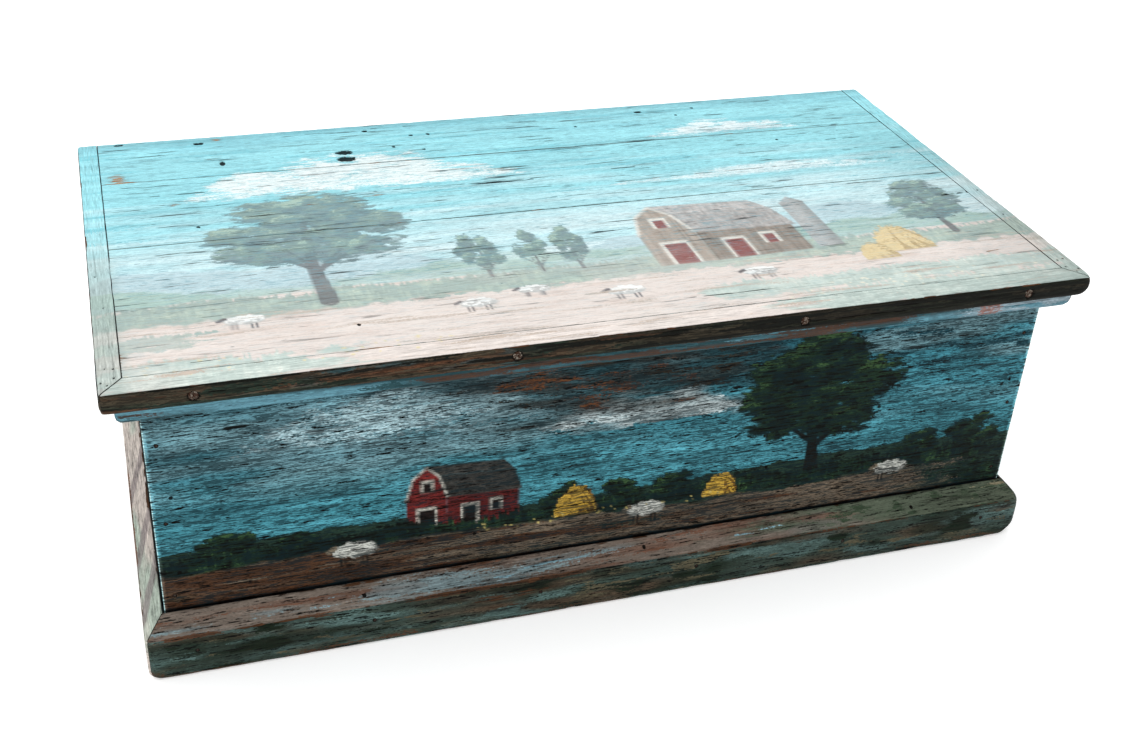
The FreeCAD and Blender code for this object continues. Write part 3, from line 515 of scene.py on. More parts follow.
class LidLandscape:
    """A pale farm landscape on the lid, seen from the front edge, with painted sheen and painted shade."""

    SKY = ((0, (208, 226, 226)), (160, (206, 227, 230)), (270, (180, 220, 226)), (360, (150, 213, 222)),
           (470, (150, 213, 222)), (523, (138, 201, 212)))
    LEAVES = Greens((112, 132, 136), (132, 156, 152), (160, 184, 172), (112, 114, 116))
    MEADOW = Greens((160, 176, 170), (172, 188, 178), (190, 202, 188), (136, 138, 132))
    TURF = Greens((184, 198, 192), (198, 210, 203), (212, 219, 211), (136, 138, 132))
    CLOUDS = (Cloud(120, 352, 330, 92, 13, (222, 234, 234), 0.95),
              Cloud(640, 420, 190, 40, 8, (218, 232, 234), 0.85),
              Cloud(560, 300, 320, 34, 10, (216, 232, 234), 0.7))
    FAR = (Grass(104, 128, 10, MEADOW), Grass(0, 26, 12, TURF, -20, 190), Grass(0, 24, 12, TURF, 640, 990),
           *trees(((212, 118, 190, 250, 0.74, 26), (372, 132, 44, 118, 0.9, 12), (424, 132, 36, 96, 0.9, 12),
                   (464, 130, 40, 108, 0.9, 12), (876, 126, 96, 132, 0.76, 18)), LEAVES, 0.9))
    SILO = ((716, 122), (744, 122), (744, 226), (730, 240), (716, 226))
    NEAR = (Barn(540, 116, 168, 128, (168, 158, 148), (182, 180, 178), (140, 92, 90), (216, 214, 206)),
            Heap(806, 96, 62, 54, (216, 198, 156), (182, 162, 124)),
            Heap(770, 84, 40, 34, (216, 198, 156), (182, 162, 124)),
            *flock(((130, 84, 36), (344, 70, 34), (402, 86, 30), (488, 62, 36), (632, 72, 34)),
                   (232, 234, 232), (116, 112, 114), (116, 112, 114)),
            Grass(40, 58, 8, TURF, 560, 980), Grass(62, 76, 8, MEADOW, -20, 90),
            Flowers(600, 24, 330, 30, 46, 1.8, (226, 222, 204)),
            Flowers(20, 14, 310, 26, 34, 1.8, (220, 208, 168)))

    @classmethod
    def paint(cls, x: Array, y: Array) -> Painting:
        """Paint sky, clouds, hills, ground and motifs in order, then painted sheen, stains, rubs and painted
        shade.

        Args:
            x: Distances from the lid's left end.
            y: Distances from its front edge.

        Returns:
            The painting on those points.
        """
        on = Painting(x, y, 7)
        on.sky(cls.SKY, (on.grain(160, 14, 1) - 0.5) * 120)
        on.scale(0.93 + 0.14 * on.grain(90, 5, 2))
        on.dab((120, 190, 202), on.patches(130, 7, 11, 0.45, 0.9) * 0.6 * ramp(y, 180, 330))
        on.draw(cls.CLOUDS)
        uneven = 12 * on.grain(30, 10, 7) - y
        far = ramp(180 + 22 * np.sin(x / 92) + 13 * np.sin(x / 41 + 1) + uneven, -5, 6)
        on.dab((182, 206, 212), far * 0.8)
        near = ramp(160 + 11 * np.sin(x / 66 + 2) + uneven, -6, 8)
        on.dab((166, 192, 184), near * (0.5 + 0.5 * on.grain(50, 8, 13)))
        ground = ramp(134 + 5 * np.sin(x / 120) + 6 * on.grain(20, 8) - y, -2, 3)
        on.lay((219, 210, 204), ground)
        on.dab((206, 190, 181), ground * on.patches(60, 6, 6, 0.4, 0.9) * 0.5)
        on.draw(cls.FAR)
        silo = on.outline(cls.SILO)
        on.lay((176, 180, 180), silo)
        on.lay((144, 150, 150), silo * ramp(x, 728, 742) * 0.7)
        on.draw(cls.NEAR)
        # Painted sheen: a patchy pale wash over the front of the lid stands for a reflection off its surface.
        painted_sheen = ramp(on.grain(130, 40, 9, 2), 0.5, 0.9) * (1 - ramp(y, 60, 200))
        on.lay((218, 212, 206), painted_sheen * 0.35 * (1 - ramp(x, 500, 800)))
        on.dab((186, 172, 160), on.patches(80, 5, 15, 0.55, 0.95) * (1 - ramp(y, 90, 180)) * 0.6)
        rubbed = (1 - ramp(x, 14, 34)) * (1 - ramp(y, 180, 330)) + ramp(x, 930, 968) * (1 - ramp(y, 160, 430))
        rubbed += ramp(x, 600, 860) * (1 - ramp(y, 18, 40)) * 0.7
        on.lay((150, 168, 163), np.clip(rubbed, 0, 1) * 0.6)
        # Painted shade: the right end and the back edge of the lid are darkened.
        shade = ramp(x, 820, 970) * (1 - ramp(y, 330, 480)) + ramp(y, 500, 526)
        on.scale(1 - 0.2 * np.clip(shade, 0, 1))
        return on


class FrontLandscape:
    """A dark landscape on the front board: dark paint, darkened further as the painted shade of an upright
    face.
    """

    SKY = ((0, (68, 140, 150)), (60, (68, 140, 154)), (110, (78, 150, 165)), (160, (70, 142, 158)),
           (242, (42, 106, 122)))
    LEAVES = Greens((14, 25, 19), (27, 48, 32), (54, 80, 48), (18, 18, 14))
    CLOUDS = (Cloud(90, 158, 300, 66, 12, (170, 200, 207), 0.66),
              Cloud(366, 138, 200, 44, 9, (208, 224, 226), 0.97))
    FIELDS = (Tree(662, 44, 176, 190, 0.78, 28, LEAVES),
              *trees(((60, 40, 62, 52), (128, 40, 46, 38), (392, 40, 56, 44), (452, 40, 42, 56),
                      (506, 40, 60, 40), (786, 40, 58, 48), (850, 40, 64, 58)), 0.92, 13, LEAVES),
              Barn(232, 46, 112, 76, (104, 34, 32), (58, 57, 54), (28, 18, 16), (186, 184, 174)),
              Grass(36, 46, 9, LEAVES), Grass(0, 24, 9, LEAVES, 830, 910),
              Heap(404, 40, 46, 34, (196, 158, 62), (124, 92, 34)),
              Heap(560, 36, 38, 27, (196, 158, 62), (124, 92, 34)))
    NEAR = (*flock(((180, 20, 40), (478, 16, 38), (756, 22, 36)),
                   (206, 208, 200), (34, 27, 22), (128, 116, 98)),
            Flowers(300, 34, 260, 12, 30, 1.4, (196, 180, 112)))

    @classmethod
    def paint(cls, x: Array, y: Array) -> Painting:
        """Paint sky, clouds, gloom, fields, path and sheep in that order.

        Args:
            x: Distances from the case's left end.
            y: Heights above the plinth.

        Returns:
            The painting on those points.
        """
        on = Painting(x, y, 21)
        on.sky(cls.SKY, (on.grain(220, 12, 1) - 0.5) * 60)
        on.scale(0.7 + 0.6 * on.grain(170, 14, 2))
        on.lay((132, 162, 168), on.patches(150, 26, 12, 0.4, 0.85) * ramp(y, 90, 150) * 0.6)
        glow = np.clip(1 - ((x - 230) / 200) ** 2 - ((y - 190) / 62) ** 2, 0, 1)
        on.lay((142, 180, 190), glow * (0.4 + 0.4 * on.grain(60, 9, 24)))
        on.dab((26, 66, 77), on.patches(60, 7, 22, 0.4, 0.8) * ramp(y + 0.08 * x, 150, 250) * 0.65)
        on.draw(cls.CLOUDS)
        gloom = np.clip(1 - ((x - 440) / 260) ** 2 - ((y - 240) / 120) ** 2, 0, 1)
        gloom = ramp(gloom + (on.grain(70, 9, 3) - 0.5) * 0.5, 0.0, 0.9)
        on.lay((28, 44, 44), gloom * 0.72)
        on.dab((46, 38, 28), ramp(gloom * on.grain(60, 7, 5), 0.15, 0.7) * 0.7)
        rusty = ramp(gloom * on.grain(70, 12, 8), 0.3, 0.8)
        on.dab((96, 58, 32), rusty * (0.3 + 0.4 * on.grain(12, 2.4, 9, 2)))
        on.dab((34, 54, 44), ramp(62 + 4 * np.sin(x / 90) + 5 * on.grain(16, 6) - y, -3, 3))
        on.draw(cls.FIELDS)
        path = ramp(32 + 4 * np.sin(x / 130) + 7 * on.grain(18, 5) - y, -3, 3)
        path *= 1 - ramp(x + 60 * on.grain(40, 12, 6), 790, 900)
        on.dab((104, 92, 78), path)
        on.dab((74, 50, 34), path * on.patches(90, 4, 4, 0.25, 0.8, 0.45 - x / 900) * 0.9)
        on.dab((44, 52, 42), path * on.patches(110, 9, 14, 0.6, 0.95) * 0.5)
        on.draw(cls.NEAR)
        on.dab((72, 46, 29), (1 - ramp(y + 8 * on.grain(40, 4) + x / 60, 6, 18)) * 0.85)
        # A near-black line just above the plinth: dirt and painted shade in the joint.
        on.lay((20, 14, 11), 1 - ramp(y, 0.6, 2.2))
        # A pale line along both end arrises: painted highlight on the corners, and worn paint.
        on.lay((180, 208, 206), (1 - ramp(np.minimum(x, 898 - x), 0.6, 1.3)) * 0.9)
        return on


# Shapes


class Axis(Enum):
    """The way that a piece and its grain run."""

    X = 0
    Y = 1


class Side(Enum):
    """A side of a piece's section, in the order that the ring of its points goes round."""

    BOTTOM = 0
    INNER = 1
    TOP = 2
    BEVEL = 3
    OUTER = 4


@dataclass(frozen=True)
class Box:
    """The corners of a node, or of a part of one, in millimetres."""

    low: Array
    high: Array

    @classmethod
    def of(cls, node: str) -> "Box":
        """Return the box round a node of the frame."""
        return cls(*(np.array(corner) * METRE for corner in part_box(node)))

    @property
    def size(self) -> Array:
        """How long it is each way."""
        return self.high - self.low

    @property
    def middle(self) -> Array:
        """Where its middle is."""
        return (self.low + self.high) / 2


@dataclass(frozen=True)
class Corner:
    """A corner of a section: its place inwards of the outer face and up, its round, and the side
    that follows it, with the spacing of points there."""

    inward: float
    up: float
    round: float
    side: Side
    spacing: float


class Profile:
    """A closed ring of points round a section, with its outward normals.

    A straight side is divided evenly. A corner is an arc that touches both sides, so its centre lies
    inwards of where the arc begins by the radius, and it begins before the corner by the radius times
    the tangent of half the turn.
    """

    ARC_STEPS = 4

    def __init__(self, corners: Sequence[Corner], outer: float, inwards: int) -> None:
        """Work out the ring, which goes round against the clock.

        Args:
            corners: The section's corners, from its outer lower one inwards and round.
            outer: Where the outer face stands.
            inwards: 1 where inwards is up the axis, and -1 where it is down.
        """
        if inwards < 0:
            sides = [*corners[-2::-1], corners[-1]]
            corners = [replace(corner, side=side.side, spacing=side.spacing)
                       for corner, side in zip(reversed(corners), sides)]
        place = np.array([(outer + inwards * corner.inward, corner.up) for corner in corners])
        ahead = np.roll(place, -1, axis=0) - place
        length = np.hypot(*ahead.T)
        ahead /= length[:, None]
        behind = np.roll(ahead, 1, axis=0)
        turn = np.arctan2(behind[:, 0] * ahead[:, 1] - behind[:, 1] * ahead[:, 0], (behind * ahead).sum(1))
        setback = np.array([corner.round for corner in corners]) * np.tan(turn / 2)
        points, normals, sides = [], [], []
        for index, corner in enumerate(corners):
            start = np.arctan2(-behind[index, 0], behind[index, 1])
            arc_steps = self.ARC_STEPS if turn[index] > 0.01 else 0
            angle = start + turn[index] * np.linspace(0, 1, arc_steps + 1)
            normal = np.stack((np.cos(angle), np.sin(angle)), axis=1)
            centre = place[index] - behind[index] * setback[index] - normal[0] * corner.round
            left, right = setback[index], length[index] - setback[(index + 1) % len(corners)]
            along = np.linspace(left, right, max(2, round((right - left) / corner.spacing)) + 1)[1:-1]
            points += [centre + normal * corner.round, place[index] + ahead[index] * along[:, None]]
            normals += [normal, np.tile((ahead[index, 1], -ahead[index, 0]), (len(along), 1))]
            sides += [corners[index - 1].side] * (arc_steps // 2)
            sides += [corner.side] * (arc_steps + 1 - arc_steps // 2 + len(along))
        self.points, self.normals = np.concatenate(points), np.concatenate(normals)
        self.sides = np.array([side.value for side in sides])
        step = np.hypot(*(np.roll(self.points, -1, axis=0) - self.points).T)
        self.arc = np.concatenate(([0.0], np.cumsum(step)))
        away = np.hypot(*(self.points[:, None] - place[None, turn > 0.01]).transpose(2, 0, 1))
        self.arris, self.corner = away.min(1), away.argmin(1)


def rectangle(width: float, box: Box, rounds: Sequence[float], spacings: Sequence[float]) -> list[Corner]:
    """Make a rectangle's corners.

    Args:
        width: From the outer to the inner face.
        box: The piece's box, for its underside and top.
        rounds: Radii from the outer lower corner inwards and round.
        spacings: Spacings of points on the bottom, inner, top and outer sides.

    Returns:
        The corners.
    """
    low, high = box.low[2], box.high[2]
    places = ((0.0, low), (width, low), (width, high), (0.0, high))
    sides = (Side.BOTTOM, Side.INNER, Side.TOP, Side.OUTER)
    return [Corner(*place, *rest) for place, *rest in zip(places, rounds, sides, spacings)]


@dataclass(frozen=True)
class Crack:
    """A split along the grain: where it starts and ends, and its level across the face."""

    start: float
    end: float
    level: float
    width: float
    depth: float
    wander: float = 2.4


@dataclass(frozen=True)
class Pit:
    """A hole or gouge in a face: its middle, its half length and half height, and its depth."""

    along: float
    across: float
    length: float
    height: float
    depth: float


def islands(node: str) -> list[Box]:
    """Find the separate solids of a node: triangles belong together where they share a corner.

    Args:
        node: A node of the frame that holds a group of solids.

    Returns:
        A box for each solid.
    """
    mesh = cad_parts[node].data
    corners = np.array([vertex.co for vertex in mesh.vertices]) * METRE
    merged = np.unique(np.round(corners, 2), axis=0, return_inverse=True)[1].ravel()
    faces = merged[np.array([face.vertices[:] for face in mesh.polygons])]
    label, before = np.arange(merged.max() + 1), None
    while not np.array_equal(label, before):
        before = label
        label = before.copy()
        np.minimum.at(label, faces.ravel(), np.repeat(before[faces].min(1), 3))
    group = label[merged]
    return [Box(corners[group == one].min(0), corners[group == one].max(0)) for one in np.unique(group)]


class Piece:
    """A board or moulding: a section carried along X or Y, worn, painted and made a mesh.

    A point's place along is its end's place plus its share of the way to the other end. A mitred
    end's place grows in proportion to the distance from the outer face.
    """

    CRACK_REACH = 3.2
    GROOVE_REACH = 1.6
    SEAM_REACH = 2.2
    KNOCK_SOFT = 1.6
    END_STEPS = (0.0, 0.5, 1.2)
    UV_MARGIN = 0.01
    UV_GAP = 8.0
    UV_SPARE = 12.0

    def __init__(self, node: str, axis: Axis, section: Sequence[Corner], pitch: float, seed: int,
                 inwards: int = 1, mitres: Point = (0.0, 0.0)) -> None:
        """Carry a section from one end of a node's box to the other.

        Args:
            node: The node that the piece stands for.
            axis: The way it runs.
            section: Its section.
            pitch: Spacing of sections along it.
            seed: Seed of its wear.
            inwards: 1 where its outer face is the low one, and -1 where it is the high one.
            mitres: How far each end's place moves from the outer to the inner face.
        """
        self.node, self.axis, self.inwards, self.mitres = node, axis, inwards, mitres
        box = self.box = Box.of(node)
        way, across = axis.value, 1 - axis.value
        outer = self.outer = (box.low if inwards > 0 else box.high)[across]
        self.ends = box.low[way], box.high[way]
        profile = self.profile = Profile(section, outer, inwards)
        share = np.abs(profile.points[:, 0] - outer) / box.size[across]
        start, end = self.ends[0] + mitres[0] * share, self.ends[1] + mitres[1] * share
        near = np.array(self.END_STEPS) / box.size[way]
        inner = np.linspace(0.0, 1.0, max(4, round(box.size[way] / pitch)))[1:-1]
        inner = inner[(inner > 2 * near[2]) & (inner < 1 - 2 * near[2])]
        stations = np.concatenate((near, inner, 1 - near[::-1]))
        self.along = start + (end - start) * stations[:, None]
        from_start, to_end = self.along - start, end - self.along
        self.from_end = np.minimum(from_start, to_end)
        self.from_mitre = np.minimum(from_start if mitres[0] else METRE, to_end if mitres[1] else METRE)
        self.across, self.up, self.sides, ring = (
            np.broadcast_to(row, self.along.shape)
            for row in (profile.points[:, 0], profile.points[:, 1], profile.sides, profile.arc[:-1]))
        self.depth, self.crack, self.wear = (np.zeros(self.along.shape) for _ in range(3))
        self.thin = np.ones(self.along.shape)
        self.coat = Painting(self.along, ring, seed)
        self.knocks: list[tuple[Array, Array, float]] = []

    @property
    def x(self) -> Array:
        """Places along X."""
        return self.along if self.axis is Axis.X else self.across

    @property
    def y(self) -> Array:
        """Places along Y."""
        return self.across if self.axis is Axis.X else self.along

    @property
    def inward(self) -> Array:
        """Distances inwards of the outer face."""
        return np.abs(self.across - self.outer)

    def mask(self, *sides: Side) -> Array:
        """Return 1 on these sides and 0 elsewhere."""
        return np.isin(self.sides, [side.value for side in sides]).astype(float)

    def weather(self, arris: float = 2.0, chip: float = 1.2, uneven: float = 0.25, grain: float = 0.1,
                wear: float = 0.25) -> "Piece":
        """Wear the surface, always inwards, most along the arrises and at the ends.

        Args:
            arris: Width of the worn arrises.
            chip: Depth of the chips in them.
            uneven: Depth of the broad hollows.
            grain: Depth of the grain's furrows.
            wear: Share of paint lost on the open faces.

        Returns:
            The piece itself.
        """
        coat, fractal = self.coat, self.coat.noise.fractal
        corner = np.broadcast_to(self.profile.corner, self.along.shape) * 7.7
        reach = arris * (0.6 + 1.6 * fractal(self.along / 26, corner, 2))
        near = np.clip(1 - self.profile.arris / reach, 0, 1)
        chips = ramp(fractal(self.along / 13, corner + 3.1, 2), 0.5, 0.85)
        end = np.clip(1 - self.from_end / 1.6, 0, 1)
        self.depth += uneven * coat.grain(140, 45, 0, 2) + grain * coat.grain(60, 2.6, 0, 2)
        self.depth += near ** 2 * (0.2 * arris + chip * chips) + 0.35 * end ** 2
        self.wear += wear + 0.35 * (coat.grain(70, 16) - 0.5) + near * (0.3 + 0.5 * chips) + 0.2 * end
        return self

    def cut(self, side: Side, cracks: Sequence[Crack] = (), pits: Sequence[Pit] = ()) -> "Piece":
        """Split and pit one face.

        A crack wanders a little about its level. Its darkness falls evenly from its line to a fixed
        reach, so that the finish can draw a thin line through coarse points.

        Args:
            side: The face.
            cracks: Its splits.
            pits: Its holes and gouges.

        Returns:
            The piece itself.
        """
        here, fractal = self.sides == side.value, self.coat.noise.fractal
        along, level = self.along[here], (self.across if side is Side.TOP else self.up)[here]
        depth, crack = np.zeros(along.shape), self.crack[here]
        for split in cracks:
            share = np.clip((along - split.start) / (split.end - split.start), 0, 1)
            path = split.level + split.wander * (fractal(along / 60, split.level + 0 * along, 2) - 0.5)
            taper = np.sin(np.pi * share) ** 0.4 * (share > 0) * (share < 1)
            broken = 0.58 + 0.42 * ramp(fractal(along / 12, split.level * 1.7 + 0 * along, 2), 0.15, 0.5)
            strength = taper * broken * min(1.0, 0.76 + 0.1 * split.width)
            away = np.abs(level - path) / split.width
            crack = np.maximum(crack, strength * np.clip(1 - away / self.CRACK_REACH, 0, 1))
            groove = np.clip(1 - away / self.GROOVE_REACH, 0, 1)
            depth = np.maximum(depth, split.depth * strength * groove)
        for pit in pits:
            ragged = 0.35 * (fractal(along / 2.5, level / 1.6, 2) - 0.5) * min(1.0, pit.length / 4)
            away = np.hypot((along - pit.along) / pit.length, (level - pit.across) / pit.height)
            inside = 1 + ragged - away
            depth = np.maximum(depth, pit.depth * ramp(inside, -0.05, 0.35))
            crack = np.maximum(crack, np.clip(0.66 + 0.5 * inside, 0, 1))
        self.depth[here] += depth
        self.crack[here] = crack
        return self

    def sockets(self, node: str, radius: float, depth: float) -> list[Pit]:
        """Find where a node's nails or screws enter the outer face.

        Args:
            node: The nails or screws.
            radius: Radius of the pit round each.
            depth: Its depth.

        Returns:
            A pit for each that is in the piece.
        """
        way, found = self.axis.value, []
        for island in islands(node):
            centre = island.middle
            face = (island.low if self.outer < 0 else island.high)[1 - way]
            if abs(face - self.outer) < 1.0 and self.box.low[way] < centre[way] < self.box.high[way]:
                found.append(Pit(centre[way], centre[2], radius, radius, depth))
        return found

    def seam(self, away: Array, closed: float, *sides: Side) -> "Piece":
        """Darken the edge of some faces where a joint holds dirt, broken up along it.

        Args:
            away: Each point's distance from the joint.
            closed: How much of the joint paint has closed, from 0 to 1.
            sides: The faces.

        Returns:
            The piece itself.
        """
        broken = ramp(self.coat.noise.fractal(self.along / 40, self.across / 40, 3) - closed, -0.3, 0.2)
        dark = (0.6 + 0.5 * broken) * np.clip(1 - away / self.SEAM_REACH, 0, 1)
        self.crack = np.maximum(self.crack, self.mask(*sides) * dark)
        return self

    def round_corners(self, mitred: float, square: float = 0.0) -> "Piece":
        """Round the outer corner at each end, as seen from above.

        A point that lies nearer than the radius to both outer faces, and outside the circle that
        touches them, moves straight towards the circle's middle until it is on the circle.

        Args:
            mitred: The circle's radius at mitred ends.
            square: Its radius at square ends.

        Returns:
            The piece itself.
        """
        for sense, end, mitre in zip((1, -1), self.ends, self.mitres):
            radius = mitred if mitre else square
            if radius:
                along = radius - sense * (self.along - end)
                across = radius - self.inwards * (self.across - self.outer)
                away = np.maximum(np.hypot(along, across), 1e-9)
                outside = (along > 0) & (across > 0) & (away > radius)
                keep = np.where(outside, radius / away, 1.0)
                self.along = np.where(outside, end + sense * (radius - along * keep), self.along)
                self.across = np.where(outside, self.outer + self.inwards * (radius - across * keep),
                                       self.across)
        self.coat.x = self.along
        return self

    def knock(self, height: float, rise: int, *depths: float) -> "Piece":
        """Wear the two front corners away along their diagonals.

        Args:
            height: The corners' height.
            rise: 1 for lower corners, which wear upwards, and -1 for upper ones.
            depths: How deep the left and the right one wear.

        Returns:
            The piece itself.
        """
        front = Box.of(self.node.rsplit("_", 1)[0] + "_front")
        for end, depth in zip((front.low[0], front.high[0]), depths):
            inward = np.array((-np.sign(end), 1.0, rise)) / math.sqrt(3)
            self.knocks.append((np.array((end, front.low[1], height)), inward, depth))
        return self

    def build(self, finish: "Finish", body: str, slot: str) -> None:
        """Make the mesh: quads between sections and one flat face at each end, with its attributes.

        Args:
            finish: What the piece is finished in.
            body: The body that it rides on.
            slot: A material slot's name.
        """
        rows, columns = self.along.shape
        offset = self.profile.normals * self.depth[..., None]
        across, up = self.across - offset[..., 0], self.up - offset[..., 1]
        place = (self.along, across, up) if self.axis is Axis.X else (across, self.along, up)
        place = np.stack(place, axis=-1)
        for corner, inward, depth in self.knocks:
            short = depth - (place - corner) @ inward
            place += self.KNOCK_SOFT * np.logaddexp(0, short / self.KNOCK_SOFT)[..., None] * inward
        i, j = np.meshgrid(np.arange(rows - 1), np.arange(columns), indexing="ij")
        corners = np.stack((i, i, i + 1, i + 1), axis=-1), np.stack((j, j + 1, j + 1, j), axis=-1)
        caps = np.arange(columns)[::-1], np.arange(columns)
        if self.axis is Axis.Y:
            corners, caps = (corners[0][..., ::-1], corners[1][..., ::-1]), caps[::-1]
        quads = (corners[0] * columns + corners[1] % columns).reshape(-1, 4)
        loops = np.concatenate((quads.ravel(), caps[0], caps[1] + (rows - 1) * columns))
        starts = np.concatenate((np.arange(len(quads)) * 4, len(quads) * 4 + np.array((0, columns))))

        mesh = bpy.data.meshes.new("worn_" + self.node)
        for parts, count, name, values in ((mesh.vertices, rows * columns, "co", place / METRE),
                                           (mesh.loops, len(loops), "vertex_index", loops),
                                           (mesh.polygons, len(starts), "loop_start", starts)):
            parts.add(count)
            parts.foreach_set(name, values.ravel())
        mesh.update(calc_edges=True)
        cover = self.coat.cover[..., None]
        for name, kind, value in (
                ("paint", "color", np.concatenate((self.coat.top * cover, self.wear[..., None]), axis=-1)),
                ("under", "color", np.concatenate((self.coat.under * (1 - cover), cover), axis=-1)),
                ("crack", "value", self.crack), ("thin", "value", self.thin)):
            made = mesh.attributes.new(name, "FLOAT_COLOR" if kind == "color" else "FLOAT", "POINT")
            made.data.foreach_set(kind, value.ravel())

        girth, section = self.profile.arc[-1], self.profile.points - self.profile.points.min(0)
        longest = max(np.ptp(self.along), girth + np.ptp(section[:, 0]) + self.UV_SPARE)
        scale = (1 - 2 * self.UV_MARGIN) / longest
        flat = np.stack((self.along[corners[0], np.minimum(corners[1], columns - 1)] - self.along.min(),
                         self.profile.arc[corners[1]]), axis=-1).reshape(-1, 2)
        ends = [np.stack((section[cap, 1] + left, girth + self.UV_GAP + section[cap, 0]), axis=1)
                for cap, left in zip(caps, (0.0, np.ptp(section[:, 1]) + self.UV_GAP))]
        unrolled = np.concatenate((flat, *ends)) * scale + self.UV_MARGIN
        mesh.uv_layers.new(name="OFBake").data.foreach_set("uv", unrolled.ravel())
        mesh.validate()
        show(mesh, finish, body, self.node, slot)


def show(mesh: bpy.types.Mesh, finish: "Finish", body: str, node: str, slot: str) -> None:
    """Put a finished mesh in the scene in place of its node.

    Args:
        mesh: The mesh, in metres and in place.
        finish: What it is finished in.
        body: The body that it rides on.
        node: The node of the frame that it stands for.
        slot: A material slot's name; not used.
    """
    mesh.shade_smooth()
    mesh.set_sharp_from_angle(angle=SHARP_EDGE)
    mesh.materials.append(finish.material())
    piece = bpy.data.objects.new(mesh.name, mesh)
    bpy.context.scene.collection.objects.link(piece)
    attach(piece, body)
    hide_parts(node)
    LOG.info("%s: %d faces, finished in %s", piece.name, len(mesh.polygons), finish.name)


# Finishes


class Signal:
    """A socket of a material's node, on which arithmetic adds Math nodes."""

    def __init__(self, recipe: "Recipe", socket: bpy.types.NodeSocket) -> None:
        """Wrap one output socket of the recipe's nodes."""
        self.recipe, self.socket = recipe, socket

    def _math(self, operation: str, other: "Signal | float", reflected: bool = False) -> "Signal":
        """Return the result of one Math node, with the two the other way round where reflected."""
        pair = (other, self) if reflected else (self, other)
        return self.recipe.node("Math", {"operation": operation}, dict(enumerate(pair)))

    __add__ = __radd__ = partialmethod(_math, "ADD")
    __mul__ = __rmul__ = partialmethod(_math, "MULTIPLY")
    __sub__ = partialmethod(_math, "SUBTRACT")
    __rsub__ = partialmethod(_math, "SUBTRACT", reflected=True)
    __rtruediv__ = partialmethod(_math, "DIVIDE", reflected=True)
    __abs__ = partialmethod(_math, "ABSOLUTE", 0.0)

    def ramp(self, low: float, high: float) -> "Signal":
        """Return a smooth rise from 0 at low to 1 at high."""
        return self.recipe.node("MapRange", {"interpolation_type": "SMOOTHSTEP"},
                                {"Value": self, "From Min": low, "From Max": high})


